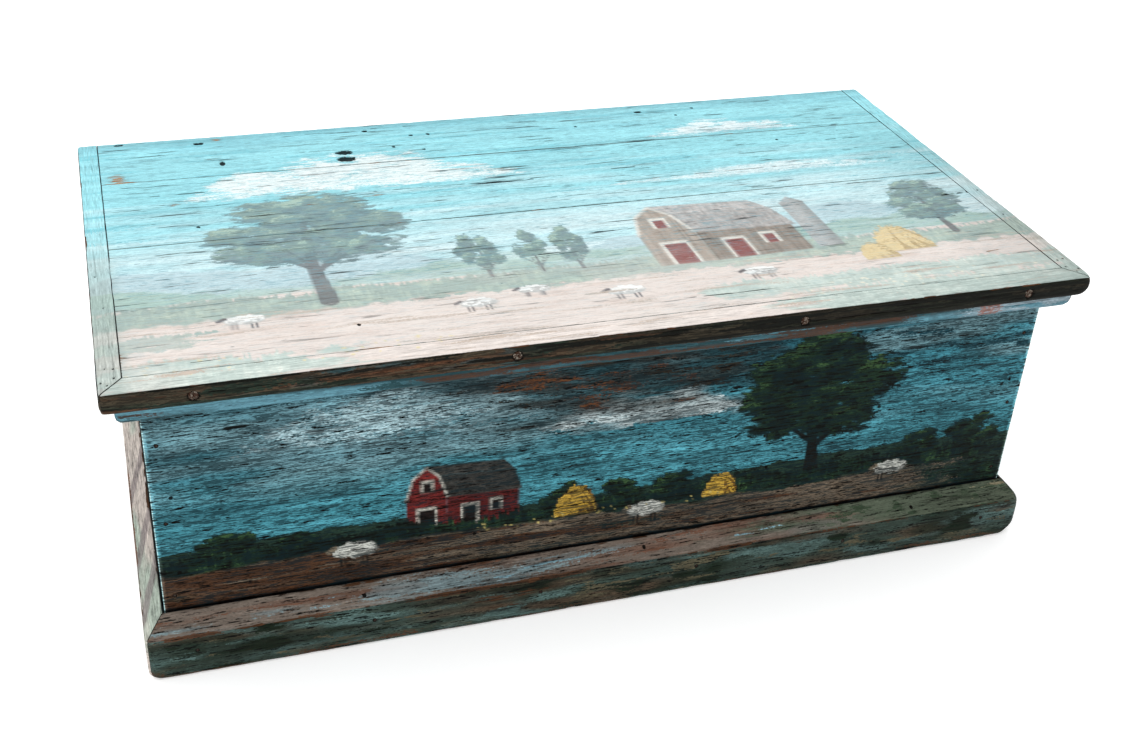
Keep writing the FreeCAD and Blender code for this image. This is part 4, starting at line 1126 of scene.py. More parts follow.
class Recipe:
    """The nodes of one material."""

    NOISE_LOW, NOISE_HIGH = 0.28, 0.72
    NOISE_ROUGHNESS = 0.6
    BUMP = 0.6

    def __init__(self, name: str) -> None:
        """Start an empty material.

        Args:
            name: The material's name.
        """
        self.material = bpy.data.materials.new(name)
        self.material.use_nodes = True
        self.tree = self.material.node_tree
        self.tree.nodes.clear()

    def node(self, kind: str, settings: dict[str, object], inputs: dict[str | int, object],
             output: str | int = 0) -> Signal:
        """Add a node.

        Args:
            kind: The node's type.
            settings: Its options, which are set first.
            inputs: Values or signals of its sockets.
            output: The socket that is returned.

        Returns:
            The signal at that socket.
        """
        made = self.tree.nodes.new("ShaderNode" + kind)
        for key, value in settings.items():
            setattr(made, key, value)
        for key, value in inputs.items():
            if isinstance(value, Signal):
                self.tree.links.new(value.socket, made.inputs[key])
            else:
                made.inputs[key].default_value = value
        return Signal(self, made.outputs[output])

    def attribute(self, name: str, output: str) -> Signal:
        """Return one output of a piece's own attribute."""
        return self.node("Attribute", {"attribute_name": name}, {}, output)

    def noise(self, axis: Axis, length: float, height: float, detail: float = 3.0) -> Signal:
        """Return a random signal of 0 to 1 that is stretched along the grain.

        Args:
            axis: The way the grain runs.
            length: Features' length along the grain, in millimetres.
            height: Features' height across it.
            detail: How many finer fields are added.

        Returns:
            The signal.
        """
        pitch = [METRE / height] * 3
        pitch[axis.value] = METRE / length
        place = self.node("TexCoord", {}, {}, "Object")
        stretched = self.node("VectorMath", {"operation": "MULTIPLY"}, {0: place, 1: pitch})
        raw = self.node("TexNoise", {}, {"Vector": stretched, "Scale": 1.0, "Detail": detail,
                                         "Roughness": self.NOISE_ROUGHNESS})
        return self.node("MapRange", {}, {"Value": raw, "From Min": self.NOISE_LOW,
                                          "From Max": self.NOISE_HIGH})

    def mix(self, under: Signal | Colour, over: Signal | Colour, share: Signal, dark: float = 1.0) -> Signal:
        """Return the colour under, covered by its share of the colour over.

        Args:
            under: The colour under.
            over: The colour over.
            share: Its share.
            dark: What a fixed colour over is darkened by.

        Returns:
            The colour.
        """
        under, over = [side if isinstance(side, Signal) else (*(linear(side) * tone), 1.0)
                       for side, tone in ((under, 1.0), (over, dark))]
        return self.node("Mix", {"data_type": "RGBA"}, {0: share, 6: under, 7: over}, 2)

    def shade(self, colour: Signal, tone: Signal) -> Signal:
        """Return the colour lightened or darkened by its tone."""
        return self.node("VectorMath", {"operation": "SCALE"}, {0: colour, "Scale": tone})

    def bare_grain(self, axis: Axis, light: Colour, dark: Colour) -> Signal:
        """Colour bare wood: broad rings and fine dark lines along the grain.

        Args:
            axis: The way the grain runs.
            light: The wood between the lines.
            dark: The lines.

        Returns:
            The colour.
        """
        rings, lines = self.noise(axis, 260.0, 9.0, 2.0), self.noise(axis, 60.0, 1.5, 3.0)
        return self.mix(light, dark, rings * 0.55 + lines * 0.6 - 0.08)

    def finish(self, colour: Signal, roughness: Signal, height: Signal, metallic: Signal | float = 0.0,
               relief: float = 0.4, gloss: float = 0.05) -> bpy.types.Material:
        """Close the recipe with a shader and its bump.

        Args:
            colour: The surface's colour.
            roughness: Its roughness.
            height: Its fine relief, from about 0 to 1.
            metallic: Its share of metal.
            relief: What a rise of 1 in the relief comes to, in millimetres.
            gloss: How strongly a bare surface of it reflects.

        Returns:
            The material.
        """
        normal = self.node("Bump", {}, {"Height": height, "Strength": self.BUMP,
                                        "Distance": relief / METRE})
        shader = self.node("BsdfPrincipled", {}, {"Base Color": colour, "Roughness": roughness,
                           "Metallic": metallic, "Normal": normal, "Specular IOR Level": gloss})
        output = self.tree.nodes.new("ShaderNodeOutputMaterial")
        self.tree.links.new(shader.socket, output.inputs["Surface"])
        return self.material


CRACK_DARK, DUST, SIDE_BLUE = (12, 10, 8), (132, 122, 110), (60, 118, 132)
INSIDE = (158, 132, 102), (96, 74, 54)


@dataclass(frozen=True)
class Finish:
    """A finish: its name and the way that its grain runs."""

    name: str
    axis: Axis

    def material(self) -> bpy.types.Material:
        """Return the finish's material, made once."""
        return bpy.data.materials.get(self.name) or self.make(Recipe(self.name))

    def make(self, recipe: Recipe) -> bpy.types.Material:
        """Make the material; each kind of finish has its own way."""
        raise NotImplementedError


@dataclass(frozen=True)
class OldPaint(Finish):
    """Thin brushed paint over old wood. The pieces carry its two colours, its wear and their cracks.

    The top colour takes where its cover and a fine grit together pass a half. The paint is starved
    along the grain, where the undercoat shows, and gone where the wear and the grain together pass a
    limit, with a dark line round each loss. Faces that were never painted have a wear above 1 and show
    bare wood. Fine checks are the lines where one stretched random field crosses a half, broken up by
    another. A crack is drawn where its falling darkness passes a limit. Where a piece's thin value is
    low, the paint is smooth and whole.
    """

    undercoat: Colour
    wood: Colour
    streak: float
    starved: float
    starved_from: float
    checks: float
    roughness: float
    crisp: float = 0.14

    def make(self, recipe: Recipe) -> bpy.types.Material:
        """Lay paint, undercoat, wood, checks and cracks in that order.

        Args:
            recipe: The material's recipe.

        Returns:
            The material.
        """
        hair, fibre, streak, blotch, grit, ridge, broken = [recipe.noise(self.axis, *size) for size in (
            (19.0, 1.6, 2.0), (80.0, 2.2), (160.0, 6.0, 4.0), (90.0, 30.0), (3.0, 1.6, 2.0),
            (240.0, 6.5, 2.0), (70.0, 6.0, 3.0))]
        wear, cover = recipe.attribute("paint", "Alpha"), recipe.attribute("under", "Alpha")
        crack, rough = recipe.attribute("crack", "Fac"), recipe.attribute("thin", "Fac")
        top = recipe.shade(recipe.attribute("paint", "Color"), 1 / (cover + 0.001))
        under = recipe.shade(recipe.attribute("under", "Color"), 1 / (1.001 - cover))
        grip = (cover + (grit * 0.6 + hair * 0.5 - 0.55) * 0.8).ramp(0.5 - self.crisp, 0.5 + self.crisp)
        tone = streak * 0.7 + fibre * 0.6 + hair * 2.8 + grit * 0.9 - 2.5
        colour = recipe.shade(recipe.mix(under, top, grip), 1 + tone * (0.3 + 0.7 * rough) * self.streak)
        thin = hair * 0.72 + fibre * 0.13 + grit * 0.15 + (blotch - 0.5) * 0.12 + wear * 0.24 + 0.015
        thin = thin.ramp(self.starved_from, self.starved_from + 0.17)
        colour = recipe.mix(colour, self.undercoat, thin * rough * self.starved)
        gone = wear + (streak - 0.5) * 0.5 + (hair - 0.5) * 0.55 + (blotch - 0.5) * 0.4
        gone = gone.ramp(0.68, 0.8)
        colour = recipe.mix(colour, recipe.mix(self.wood, self.wood, hair, 0.3), gone)
        colour = recipe.mix(colour, CRACK_DARK, gone * (1 - gone) * 1.8)
        colour = recipe.mix(colour, recipe.bare_grain(self.axis, *INSIDE), wear.ramp(1.0, 1.1))
        check = (broken * 0.7 + blotch * 0.3).ramp(0.6, 0.68)
        check = (1 - abs(ridge - 0.5).ramp(0.025, 0.07)) * check * self.checks * (0.25 + 0.75 * rough)
        colour = recipe.mix(colour, CRACK_DARK, check)
        split = (crack + (hair - 0.5) * 0.14).ramp(0.62, 0.72)
        colour = recipe.mix(colour, CRACK_DARK, split * 0.96)
        roughness = self.roughness + streak * 0.14 + gone * 0.25 + split * 0.2
        height = hair * 0.35 + streak * 0.4 + grit * 0.15 - thin * 0.2 - gone * 0.35 - split - check
        return recipe.finish(colour, roughness, height)


@dataclass(frozen=True)
class BareWood(Finish):
    """Unpainted old wood, greyed by dust, with darker lines in its grain; its thin value lightens it."""

    light: Colour = INSIDE[0]
    dark: Colour = INSIDE[1]

    def make(self, recipe: Recipe) -> bpy.types.Material:
        """Mix broad rings, fine lines and grey dust.

        Args:
            recipe: The material's recipe.

        Returns:
            The material.
        """
        lines, dust = recipe.noise(self.axis, 60.0, 1.5, 3.0), recipe.noise(self.axis, 260.0, 16.0)
        colour = recipe.bare_grain(self.axis, self.light, self.dark)
        colour = recipe.mix(colour, DUST, dust.ramp(0.35, 0.9) * 0.35)
        colour = recipe.shade(colour, 0.62 + 0.38 * recipe.attribute("thin", "Fac"))
        split = (recipe.attribute("crack", "Fac") + (lines - 0.5) * 0.14).ramp(0.62, 0.72)
        colour = recipe.mix(colour, CRACK_DARK, split * 0.94)
        return recipe.finish(colour, 0.7 + lines * 0.2, 1 - lines * 0.5 - split)


@dataclass(frozen=True)
class OldMetal(Finish):
    """Old metal under more or less rust."""

    metal: Colour = (96, 92, 88)
    rust: Colour = (84, 46, 26)
    rusted: float = 0.6

    def make(self, recipe: Recipe) -> bpy.types.Material:
        """Mix metal and rust by two random fields.

        Args:
            recipe: The material's recipe.

        Returns:
            The material.
        """
        spots, fine = recipe.noise(self.axis, 3.0, 3.0, 4.0), recipe.noise(self.axis, 0.6, 0.6, 3.0)
        rust = (spots * 0.7 + fine * 0.3 + (self.rusted - 0.5)).ramp(0.4, 0.62)
        colour = recipe.mix(self.metal, recipe.mix(self.rust, self.rust, fine, 0.35), rust)
        return recipe.finish(colour, 0.36 + rust * 0.45, spots * 0.5 + fine * 0.5, 0.95 - rust * 0.75,
                             0.15, 0.2)


def both_ways(name: str, *looks: object) -> dict[Axis, OldPaint]:
    """Return a paint for mouldings that run along X and one for those along Y."""
    return {axis: OldPaint(f"aged_{name}_{axis.name}", axis, *looks) for axis in Axis}


LID_PAINT = OldPaint("aged_lid", Axis.X, (92, 136, 148), (206, 156, 112), 0.25, 0.65, 0.6, 0.8, 0.4, 0.24)
FRONT_PAINT = OldPaint("aged_front", Axis.X, (5, 24, 29), (92, 52, 28), 1.0, 0.9, 0.51, 0.7, 0.42)
SIDE_PAINT = OldPaint("aged_side", Axis.Y, (10, 26, 30), (96, 66, 44), 0.35, 0.6, 0.5, 0.6, 0.45)
PLINTH_PAINT = both_ways("plinth", (18, 18, 13), (96, 66, 46), 1.05, 0.75, 0.46, 0.7, 0.46)
EDGING_PAINT = both_ways("edging", (10, 9, 7), (112, 74, 50), 0.6, 0.8, 0.46, 0.9, 0.42)
LIP_PAINT = both_ways("lip", (26, 42, 46), (92, 62, 44), 0.45, 0.6, 0.5, 0.5, 0.42)
BARE_WOOD = {axis: BareWood("aged_wood_" + axis.name.lower(), axis) for axis in Axis}
DUSTY_WOOD = BareWood("dusty_wood", Axis.X, (126, 108, 86), (72, 56, 42))
OLD_IRON = OldMetal("aged_iron", Axis.X, (60, 56, 52), (50, 30, 20))
WORN_STEEL = OldMetal("aged_steel", Axis.X, (124, 116, 106), (70, 44, 30), 0.56)


# The chest


@dataclass
class Assembly:
    """A sub-assembly of wooden pieces, which ride on one body."""

    body: str

    def bare_board(self, node: str, axis: Axis, seed: int, bevel: float = 0.0) -> None:
        """Build a bare board from its node's box.

        Args:
            node: The node that it stands for.
            axis: The way it runs.
            seed: Seed of its wear.
            bevel: How far the lower edges of its two ends are cut back.
        """
        box = Box.of(node)
        section = rectangle(box.size[1 - axis.value], box, (1.0,) * 4, (4, 4, 4, 4))
        board = Piece(node, axis, section, 5.0, seed)
        board.thin -= 0.75 * board.coat.noise.table[0, 0]
        board.up = np.maximum(board.up, box.low[2] + bevel - board.from_end)
        board.weather(2.0, 1.0).build(BARE_WOOD[axis], self.body, "bare_wood")

    def mouldings(self, prefix: str, section: Sequence[Corner], widths: Point, pitch: float,
                  seed: int) -> list[Piece]:
        """Carry one section round the front and both sides, mitred at the front corners.

        Args:
            prefix: What the nodes' names begin with.
            section: The section, drawn to the front moulding's width.
            widths: Widths of the front and of the side mouldings.
            pitch: Spacing of sections.
            seed: Seed of their wear.

        Returns:
            The front, left and right pieces.
        """
        front, side = widths
        narrowed = [replace(corner, inward=side) if corner.inward == front else corner for corner in section]
        return [Piece(prefix + "_front", Axis.X, section, pitch, seed, 1, (side, -side)),
                Piece(prefix + "_left", Axis.Y, narrowed, pitch, seed + 1, 1, (front, 0.0)),
                Piece(prefix + "_right", Axis.Y, narrowed, pitch, seed + 2, -1, (front, 0.0))]


@dataclass
class Case(Assembly):
    """The nailed box: four boards, its loose bottom and the cleats that carry it."""

    body: str = "case"
    face_pitch: float = 1.36
    hidden_below: float = 58.0

    HOLES = ((18, 194), (18, 108), (883, 196), (610, 128), (300, 100))
    CRACKS = (
        (51, 104, 260, 1.8, 2.2), (10, 60, 214, 0.9, 1.0), (330, 420, 246, 0.8, 0.9),
        (600, 700, 262, 0.8, 0.9), (180, 240, 232, 0.7, 0.8), (500, 560, 216, 0.8, 0.8),
        (740, 820, 222, 0.7, 0.8), (60, 150, 128, 0.7, 0.8), (250, 330, 286, 0.9, 1.0),
        (640, 690, 112, 0.7, 0.8), (780, 880, 84, 0.8, 0.8), (150, 260, 76, 0.8, 0.9))
    BACK_CRACKS = ((-420, -250, 226, 1.6, 2.0), (90, 300, 120, 1.4, 1.8), (-180, -60, 60, 1.2, 1.4),
                   (220, 430, 268, 1.1, 1.4), (-300, -120, 170, 1.0, 1.2), (330, 445, 30, 1.4, 1.6))
    BARE = (("bottom_board_front", Axis.X), ("bottom_board_middle", Axis.X), ("bottom_board_back", Axis.X),
            ("bottom_cleat_front", Axis.X), ("bottom_cleat_back", Axis.X), ("bottom_cleat_left", Axis.Y),
            ("bottom_cleat_right", Axis.Y))

    def build(self) -> None:
        """Build the front, the ends, the bare back and the bare bottom."""
        self.build_front()
        box = Box.of("left_end_board")
        section = rectangle(box.size[0], box, (0.6,) * 4, (6, 9, 4, 2.6))
        for seed, node, inwards in ((41, "left_end_board", 1), (42, "right_end_board", -1)):
            board = Piece(node, Axis.Y, section, 3.0, seed, inwards)
            coat = board.coat
            coat.lay(SIDE_BLUE)
            coat.lay((92, 140, 150), coat.patches(150, 26, 2, 0.4, 0.9) * 0.5)
            coat.dab((34, 84, 98), ramp(board.up, 120, 330) * 0.4 + 0.5 * coat.patches(120, 12, 0, 0.4, 0.8))
            foot = ramp(190 + 60 * coat.grain(90, 30, 4) - board.up, 0, 110)
            coat.dab((30, 56, 50), foot * 0.8)
            coat.dab((84, 66, 52), foot * coat.patches(90, 10, 6, 0.5, 0.9) * 0.6)
            board.weather(1.6, 0.8, wear=0.22)
            board.wear += 1.4 * board.mask(Side.INNER, Side.BOTTOM) + board.mask(Side.TOP)
            board.build(SIDE_PAINT, self.body, "side_paint")
        box = Box.of("back_board")
        section = rectangle(box.size[1], box, (0.6,) * 4, (6, 9, 4, 2.6))
        back = Piece("back_board", Axis.X, section, 4.0, 51, -1)
        back.weather(2.6, 1.6).cut(Side.OUTER, [Crack(*row) for row in self.BACK_CRACKS],
                                   back.sockets("back_board_nails", 2.6, 1.2))
        back.build(DUSTY_WOOD, self.body, "back_wood")
        for number, (node, axis) in enumerate(self.BARE):
            self.bare_board(node, axis, 61 + number)

    def build_front(self) -> None:
        """Paint the front board: fine points where it shows, coarse ones behind the plinth."""
        box, plinth_top = Box.of("front_board"), Box.of("plinth_front").high[2]
        left, low, high, width = box.low[0], box.low[2], box.high[2], box.size[1]
        section = [Corner(0, low, 0.6, Side.BOTTOM, 6.0), Corner(width, low, 0.6, Side.INNER, 24.0),
                   Corner(width, high, 0.8, Side.TOP, 3.0), Corner(0, high, 0.9, Side.OUTER, self.face_pitch),
                   Corner(0, self.hidden_below, 0.0, Side.OUTER, 8.0)]
        front = Piece("front_board", Axis.X, section, 2.12, 31)
        shown = front.sides == Side.OUTER.value
        front.coat.lay((40, 70, 76))
        front.coat.paste(shown, FrontLandscape.paint(front.x[shown] - left, front.up[shown] - plinth_top))
        front.weather(1.2, 0.5, wear=0.16)
        cracks = [Crack(left + start, left + end, *rest) for start, end, *rest in self.CRACKS]
        holes = [Pit(left + along, level, 2.0, 2.2, 1.5) for along, level in self.HOLES]
        front.cut(Side.OUTER, cracks, holes + front.sockets("front_board_nails", 2.3, 1.2))
        bare, at_end = 1.4 * front.mask(Side.INNER, Side.BOTTOM) + front.mask(Side.TOP), front.from_end < 0.3
        front.wear += np.where(at_end, 0.0, bare)
        front.wear -= front.mask(Side.OUTER) * (1 - ramp(front.from_end, 1.0, 3.0))
        front.coat.lay(SIDE_BLUE, at_end)
        front.build(FRONT_PAINT, self.body, "front_paint")


@dataclass
class Plinth(Assembly):
    """Three bevelled boards round the foot of the case."""

    body: str = "case"
    bevel_run: float = 18.5
    bevel_drop: float = 18.5
    back_chamfer: float = 2.2

    STROKES = (-188.0, -105.0, 8.0)
    HOLES = ((-262, 56), (28, 58), (336, 55))

    def build(self) -> None:
        """Build and paint the three boards."""
        box = Box.of("plinth_left")
        width, height = box.size[0], box.high[2]
        section = [Corner(0, 0, 3.0, Side.BOTTOM, 4.0), Corner(width, 0, 0.6, Side.INNER, 9.0),
                   Corner(width, height - self.back_chamfer, 0.5, Side.INNER, 1.5),
                   Corner(width - self.back_chamfer, height, 0.5, Side.TOP, 1.0),
                   Corner(self.bevel_run, height, 0.5, Side.BEVEL, 1.1),
                   Corner(0, height - self.bevel_drop, 5.0, Side.OUTER, 1.2)]
        for piece in self.mouldings("plinth", section, (width, width), 1.9, 71):
            piece.round_corners(8.0).weather(2.2, 1.0, 0.35, 0.2, 0.22).knock(0.0, 1, 6.0, 10.0)
            piece.knock(height - self.bevel_drop, -1, 1.5, 5.0)
            piece.cut(Side.OUTER, (), piece.sockets("plinth_nails", 2.2, 1.2))
            piece.seam(piece.from_mitre, 0.0, Side.TOP, Side.BEVEL, Side.OUTER)
            if piece.axis is Axis.X:
                piece.cut(Side.BEVEL, (), [Pit(*hole, 2.0, 1.8, 1.2) for hole in self.HOLES])
            self.paint(piece)
            piece.build(PLINTH_PAINT[piece.axis], self.body, "plinth_paint")

    def paint(self, piece: Piece) -> None:
        """Paint one board: worn dark greens below, and a paler bevel that greens to the right.

        Args:
            piece: The board.
        """
        coat, inward, right = piece.coat, piece.inward, ramp(piece.x, 60, 330)
        patches, rust = coat.patches, (96, 66, 48)
        coat.lay((68, 86, 78))
        coat.lay((104, 82, 64), patches(120, 16, 5, 0.35, 0.85, -0.15 * right) * 0.8)
        coat.lay((30, 46, 34), patches(60, 22, 1, 0.5, 0.95) * 0.8)
        coat.dab((104, 134, 130), patches(70, 12, 2, 0.4, 0.9, 0.08 * right) * 0.8)
        coat.dab((22, 40, 26), patches(50, 16, 10, 0.45, 0.9) * 0.8)
        coat.dab((110, 104, 82), patches(34, 6, 20, 0.55, 0.95) * 0.6)
        coat.dab(rust, ramp(10 - piece.up, -6, 6) * patches(60, 30, 7, 0.4, 0.8) * 0.55)
        bevel = piece.mask(Side.BEVEL, Side.TOP)
        if piece.axis is Axis.Y and piece.inwards > 0:
            piece.thin -= 0.85
            piece.wear -= 0.3 * piece.mask(Side.TOP, Side.INNER)
            # The left board is laid over in a pale wash, partly painted light on the faces that turn to the
            # left.
            coat.lay((186, 176, 168))
            coat.lay((146, 168, 154), patches(110, 30, 3, 0.4, 0.75) * 0.7)
            for middle in self.STROKES:
                away = np.abs(piece.y - middle - 3.6 * (inward - 9) + 8 * coat.grain(30, 20, 6))
                coat.lay((124, 114, 114), (1 - ramp(away, 11, 19)) * 0.75)
        else:
            piece.thin -= 0.3 * bevel
            coat.lay((130, 118, 108), bevel)
            band = ramp(inward, 3, 7) * (1 - ramp(inward, 10, 15))
            for colour, cover in (
                    ((116, 82, 66), patches(130, 9, 4, 0.4, 0.9) * 0.75),
                    ((132, 152, 156), (1 - 0.8 * right) * patches(110, 7, 14, 0.45, 0.9) * 0.7),
                    ((92, 102, 86), patches(80, 12, 9, 0.2, 0.9, right - 0.5)),
                    ((58, 74, 56), right * patches(16, 5, 11, 0.45, 0.85) * 0.7),
                    ((136, 128, 104), ramp(piece.x, 380, 460) * patches(20, 4, 13, 0.5, 0.9)),
                    ((140, 182, 196), (1 - right) * patches(60, 4, 8, 0.62, 0.95) * band * 0.85)):
                coat.dab(colour, bevel * cover)
        arris = 1 - ramp(np.hypot(inward, piece.up - (piece.box.high[2] - self.bevel_drop)), 1.0, 4.5)
        coat.dab(rust, arris * patches(60, 8, 12, 0.25, 0.7, -0.15 * right) * (0.8 - 0.3 * right))
        # A near-black line in the groove at the back of the top: dirt and painted shade in the joint.
        coat.lay((22, 19, 16), ramp(inward, self.bevel_run - 0.6, self.bevel_run + 1.2) * 0.9)


@dataclass
class Lid(Assembly):
    """The lid: three boards, the edging and dust lip round them, and two battens."""

    body: str = "lid"
    joint: float = 0.15
    checks_per_mm: float = 0.4

    BOARDS = (("front", 1.3, 2.15), ("middle", 1.1, 1.72), ("back", 1.0, 1.4))
    CRACKS = (
        (305, 392, 10.7, 1.5, 1.6), (22, 120, 41, 1.0, 1.2), (22, 206, 145, 1.3, 1.5),
        (544, 622, 174, 1.3, 1.5), (28, 684, 180, 0.9, 1.0), (388, 494, 183, 1.6, 1.8),
        (460, 942, 206, 0.9, 1.0), (806, 934, 145, 1.1, 1.3), (720, 790, 176, 0.9, 1.0),
        (380, 640, 232, 0.8, 0.8), (897, 942, 313, 2.0, 2.2), (430, 480, 302, 1.0, 1.0),
        (460, 568, 321, 1.2, 1.3), (417, 462, 356, 1.3, 1.4), (481, 700, 473, 1.1, 1.3),
        (22, 176, 486, 0.9, 1.0), (560, 700, 58, 0.8, 0.8), (180, 330, 64, 0.7, 0.7),
        (640, 760, 118, 0.8, 0.9), (840, 930, 366, 0.9, 1.0), (610, 680, 403, 0.8, 0.9))
    SCUFFS = (
        (38, 97, 22, 26, 0.55), (150, 9, 16, 6, 0.6), (92, 172, 16, 8, 0.5), (225, 198, 36, 5, 0.45),
        (300, 190, 50, 4, 0.4), (60, 58, 30, 5, 0.35), (22, 470, 10, 30, 0.35), (440, 150, 60, 4, 0.3),
        (560, 178, 60, 4, 0.3), (700, 160, 80, 5, 0.25), (140, 64, 60, 4, 0.35), (90, 225, 30, 6, 0.3),
        (470, 112, 60, 5, 0.45), (560, 124, 40, 4, 0.4), (210, 30, 24, 5, 0.4), (62, 120, 20, 9, 0.4))
    PITS = (
        (44, 5, 5, 3, 2.0), (130, 17, 6, 3.5, 2.0), (318, 17, 3, 2.5, 2.0), (653, 22, 5, 3, 2.0),
        (724, 21, 2.5, 2.2, 2.0), (368, 38, 2.5, 2.5, 2.0), (388, 38, 2.5, 2.5, 2.0), (150, 76, 3, 6, 1.8),
        (284, 73, 10, 6, 2.4), (284, 91, 11, 7, 2.4), (342, 67, 2.2, 2.6, 2.0), (374, 80, 2.4, 2.6, 2.0),
        (696, 39, 2, 2, 1.8), (564, 51, 2.2, 2, 1.8), (110, 227, 2.2, 2, 1.6), (788, 134, 2, 2.4, 1.6),
        (230, 454, 2, 2.4, 1.6))
    EDGING_CRACKS = (
        (-430, -300, 322, 0.8, 1.0), (-250, -120, 315, 0.9, 1.2), (-60, 80, 321, 0.8, 1.0),
        (-180, 40, 312, 0.7, 0.8), (120, 330, 317, 0.9, 1.2), (210, 400, 323, 0.7, 0.8),
        (-380, -260, 312, 0.8, 0.8), (300, 440, 312, 0.8, 1.0), (-30, 130, 325, 0.7, 0.8))
    EDGING_HOLES = ((21, 4), (43, 8), (42, 15), (27, 15), (16, 9), (150, 12), (212, 7))

    def build(self) -> None:
        """Build every piece of the lid."""
        self.build_boards()
        self.build_edging()
        self.build_lip()
        self.bare_board("lid_batten_left", Axis.Y, 95, 9.0)
        self.bare_board("lid_batten_right", Axis.Y, 96, 9.0)

    def landscape(self, piece: Piece) -> None:
        """Paint the piece's top as its part of the lid's landscape.

        Args:
            piece: A board or edging strip.
        """
        left, front, _ = Box.of("lid_edging_front").low
        top = piece.sides == Side.TOP.value
        piece.coat.paste(top, LidLandscape.paint(piece.x[top] - left, piece.y[top] - front))
        piece.thin *= 1 - 0.55 * top * (1 - ramp(piece.y - front, 110, 170))

    def build_boards(self) -> None:
        """Paint, split and pit the three boards; the narrower a board, the finer its points."""
        edge, back = Box.of("lid_edging_front").low[0], Box.of("lid_board_back").high[1]
        for number, (name, across, pitch) in enumerate(self.BOARDS):
            box = Box.of("lid_board_" + name)
            low, high = box.low[1], box.high[1]
            section = rectangle(high - low - self.joint, box, (1.8, 1.8, 0.7, 0.7), (24.0, 4.0, across, 4.0))
            board = Piece("lid_board_" + name, Axis.X, section, pitch, 81 + number)
            board.coat.lay((110, 120, 114))
            self.landscape(board)
            board.weather(1.1, 0.5, 0.25, 0.12, 0.14)
            board.wear += 1.4 * board.mask(Side.BOTTOM)
            for along, down, length, height, wear in self.SCUFFS:
                away = np.hypot((board.x - edge - along) / length, (board.y - back + down) / height)
                board.wear += wear * (1 - ramp(away, 0.0, 1.0))
            cracks = [Crack(edge + start, edge + end, back - down, width, depth)
                      for start, end, down, width, depth in self.CRACKS if low < back - down < high]
            cracks += self.checks(box, 90 + number)
            cracks += [Crack(box.low[0] - 9, box.high[0] + 9, level, 0.9, 0.3, 0.0)
                       for level in (low + 0.3, high - 0.45) if level < back - 1]
            pits = [Pit(edge + along, back - down, *sizes) for along, down, *sizes in self.PITS
                    if low < back - down < high]
            board.cut(Side.TOP, cracks, pits).seam(board.from_end, 0.35, Side.TOP)
            board.crack[(board.mask(Side.INNER, Side.OUTER) > 0) & (board.up < box.low[2] + 9)] = 1.0
            board.build(LID_PAINT, self.body, "lid_paint")

    def checks(self, box: Box, seed: int) -> list[Crack]:
        """Scatter short fine splits over a board, all of them close to a few rows of its grain.

        Args:
            box: The board.
            seed: Seed of their places.

        Returns:
            The splits.
        """
        rng = np.random.default_rng(seed)
        rows, found = rng.uniform(box.low[1] + 3, box.high[1] - 3, 9), []
        for _ in range(round(box.size[1] * self.checks_per_mm)):
            level = rng.choice(rows) + rng.normal(0, 2.5)
            start, length = rng.uniform(box.low[0], box.high[0] - 60), rng.gamma(1.6, 11)
            found.append(Crack(start, start + 5 + length, level, rng.uniform(0.3, 0.6), 0.6))
        return found

    def build_edging(self) -> None:
        """Build the edging: pale on top, and worn brown and olive on its outer faces, darkened there as
        painted shade.
        """
        front = Box.of("lid_edging_front")
        widths = front.size[1], Box.of("lid_edging_left").size[0]
        section = rectangle(widths[0], front, (6.0, 0.6, 0.6, 2.0), (2.0, 4.0, 1.2, 1.0))
        for piece in self.mouldings("lid_edging", section, widths, 1.7, 101):
            coat, patches = piece.coat, piece.coat.patches
            piece.round_corners(4.5, 7.0).weather(2.0, 1.0, 0.3, 0.3, 0.2)
            piece.knock(front.low[2], 1, 2.5, 6.5).knock(front.high[2], -1, 1.5, 4.0)
            cracks = [Crack(*row) for row in self.EDGING_CRACKS] if piece.axis is Axis.X else ()
            piece.cut(Side.OUTER, cracks, piece.sockets("lid_edging_screws", 5.4, 2.2)
                      + piece.sockets("lid_mitre_nails", 2.2, 1.0))
            if piece.axis is Axis.Y:
                piece.cut(Side.TOP, (), [
                    Pit(piece.ends[0] + back, piece.outer + piece.inwards * inward, 1.3, 1.3, 1.0)
                    for back, inward in self.EDGING_HOLES])
            inner = ramp(piece.inward, np.ptp(piece.across) - 5, np.ptp(piece.across) - 2)
            piece.depth *= 1 - 0.7 * inner
            piece.wear -= 0.6 * inner
            piece.seam(piece.from_mitre, 0.0, Side.TOP)
            right = ramp(piece.x, -180, 260)
            coat.lay((80, 72, 58))
            coat.dab((104, 70, 50), patches(160, 7, 1, 0.35, 0.8, -0.25 * right) * 0.85)
            coat.dab((64, 94, 98), patches(60, 14, 2, 0.6, 0.85, -0.2 * right) * 0.75)
            coat.dab((46, 60, 50), patches(90, 20, 6, 0.4, 0.75) * 0.75)
            # Painted shade: the outer faces are darkened towards the right.
            coat.lay((34, 33, 26), right * 0.75)
            coat.dab((24, 27, 22), patches(70, 3, 4, 0.55, 0.85, 0.25 * right) * 0.8)
            piece.thin -= 0.9 * piece.mask(Side.TOP)
            self.landscape(piece)
            piece.build(EDGING_PAINT[piece.axis], self.body, "edging_paint")

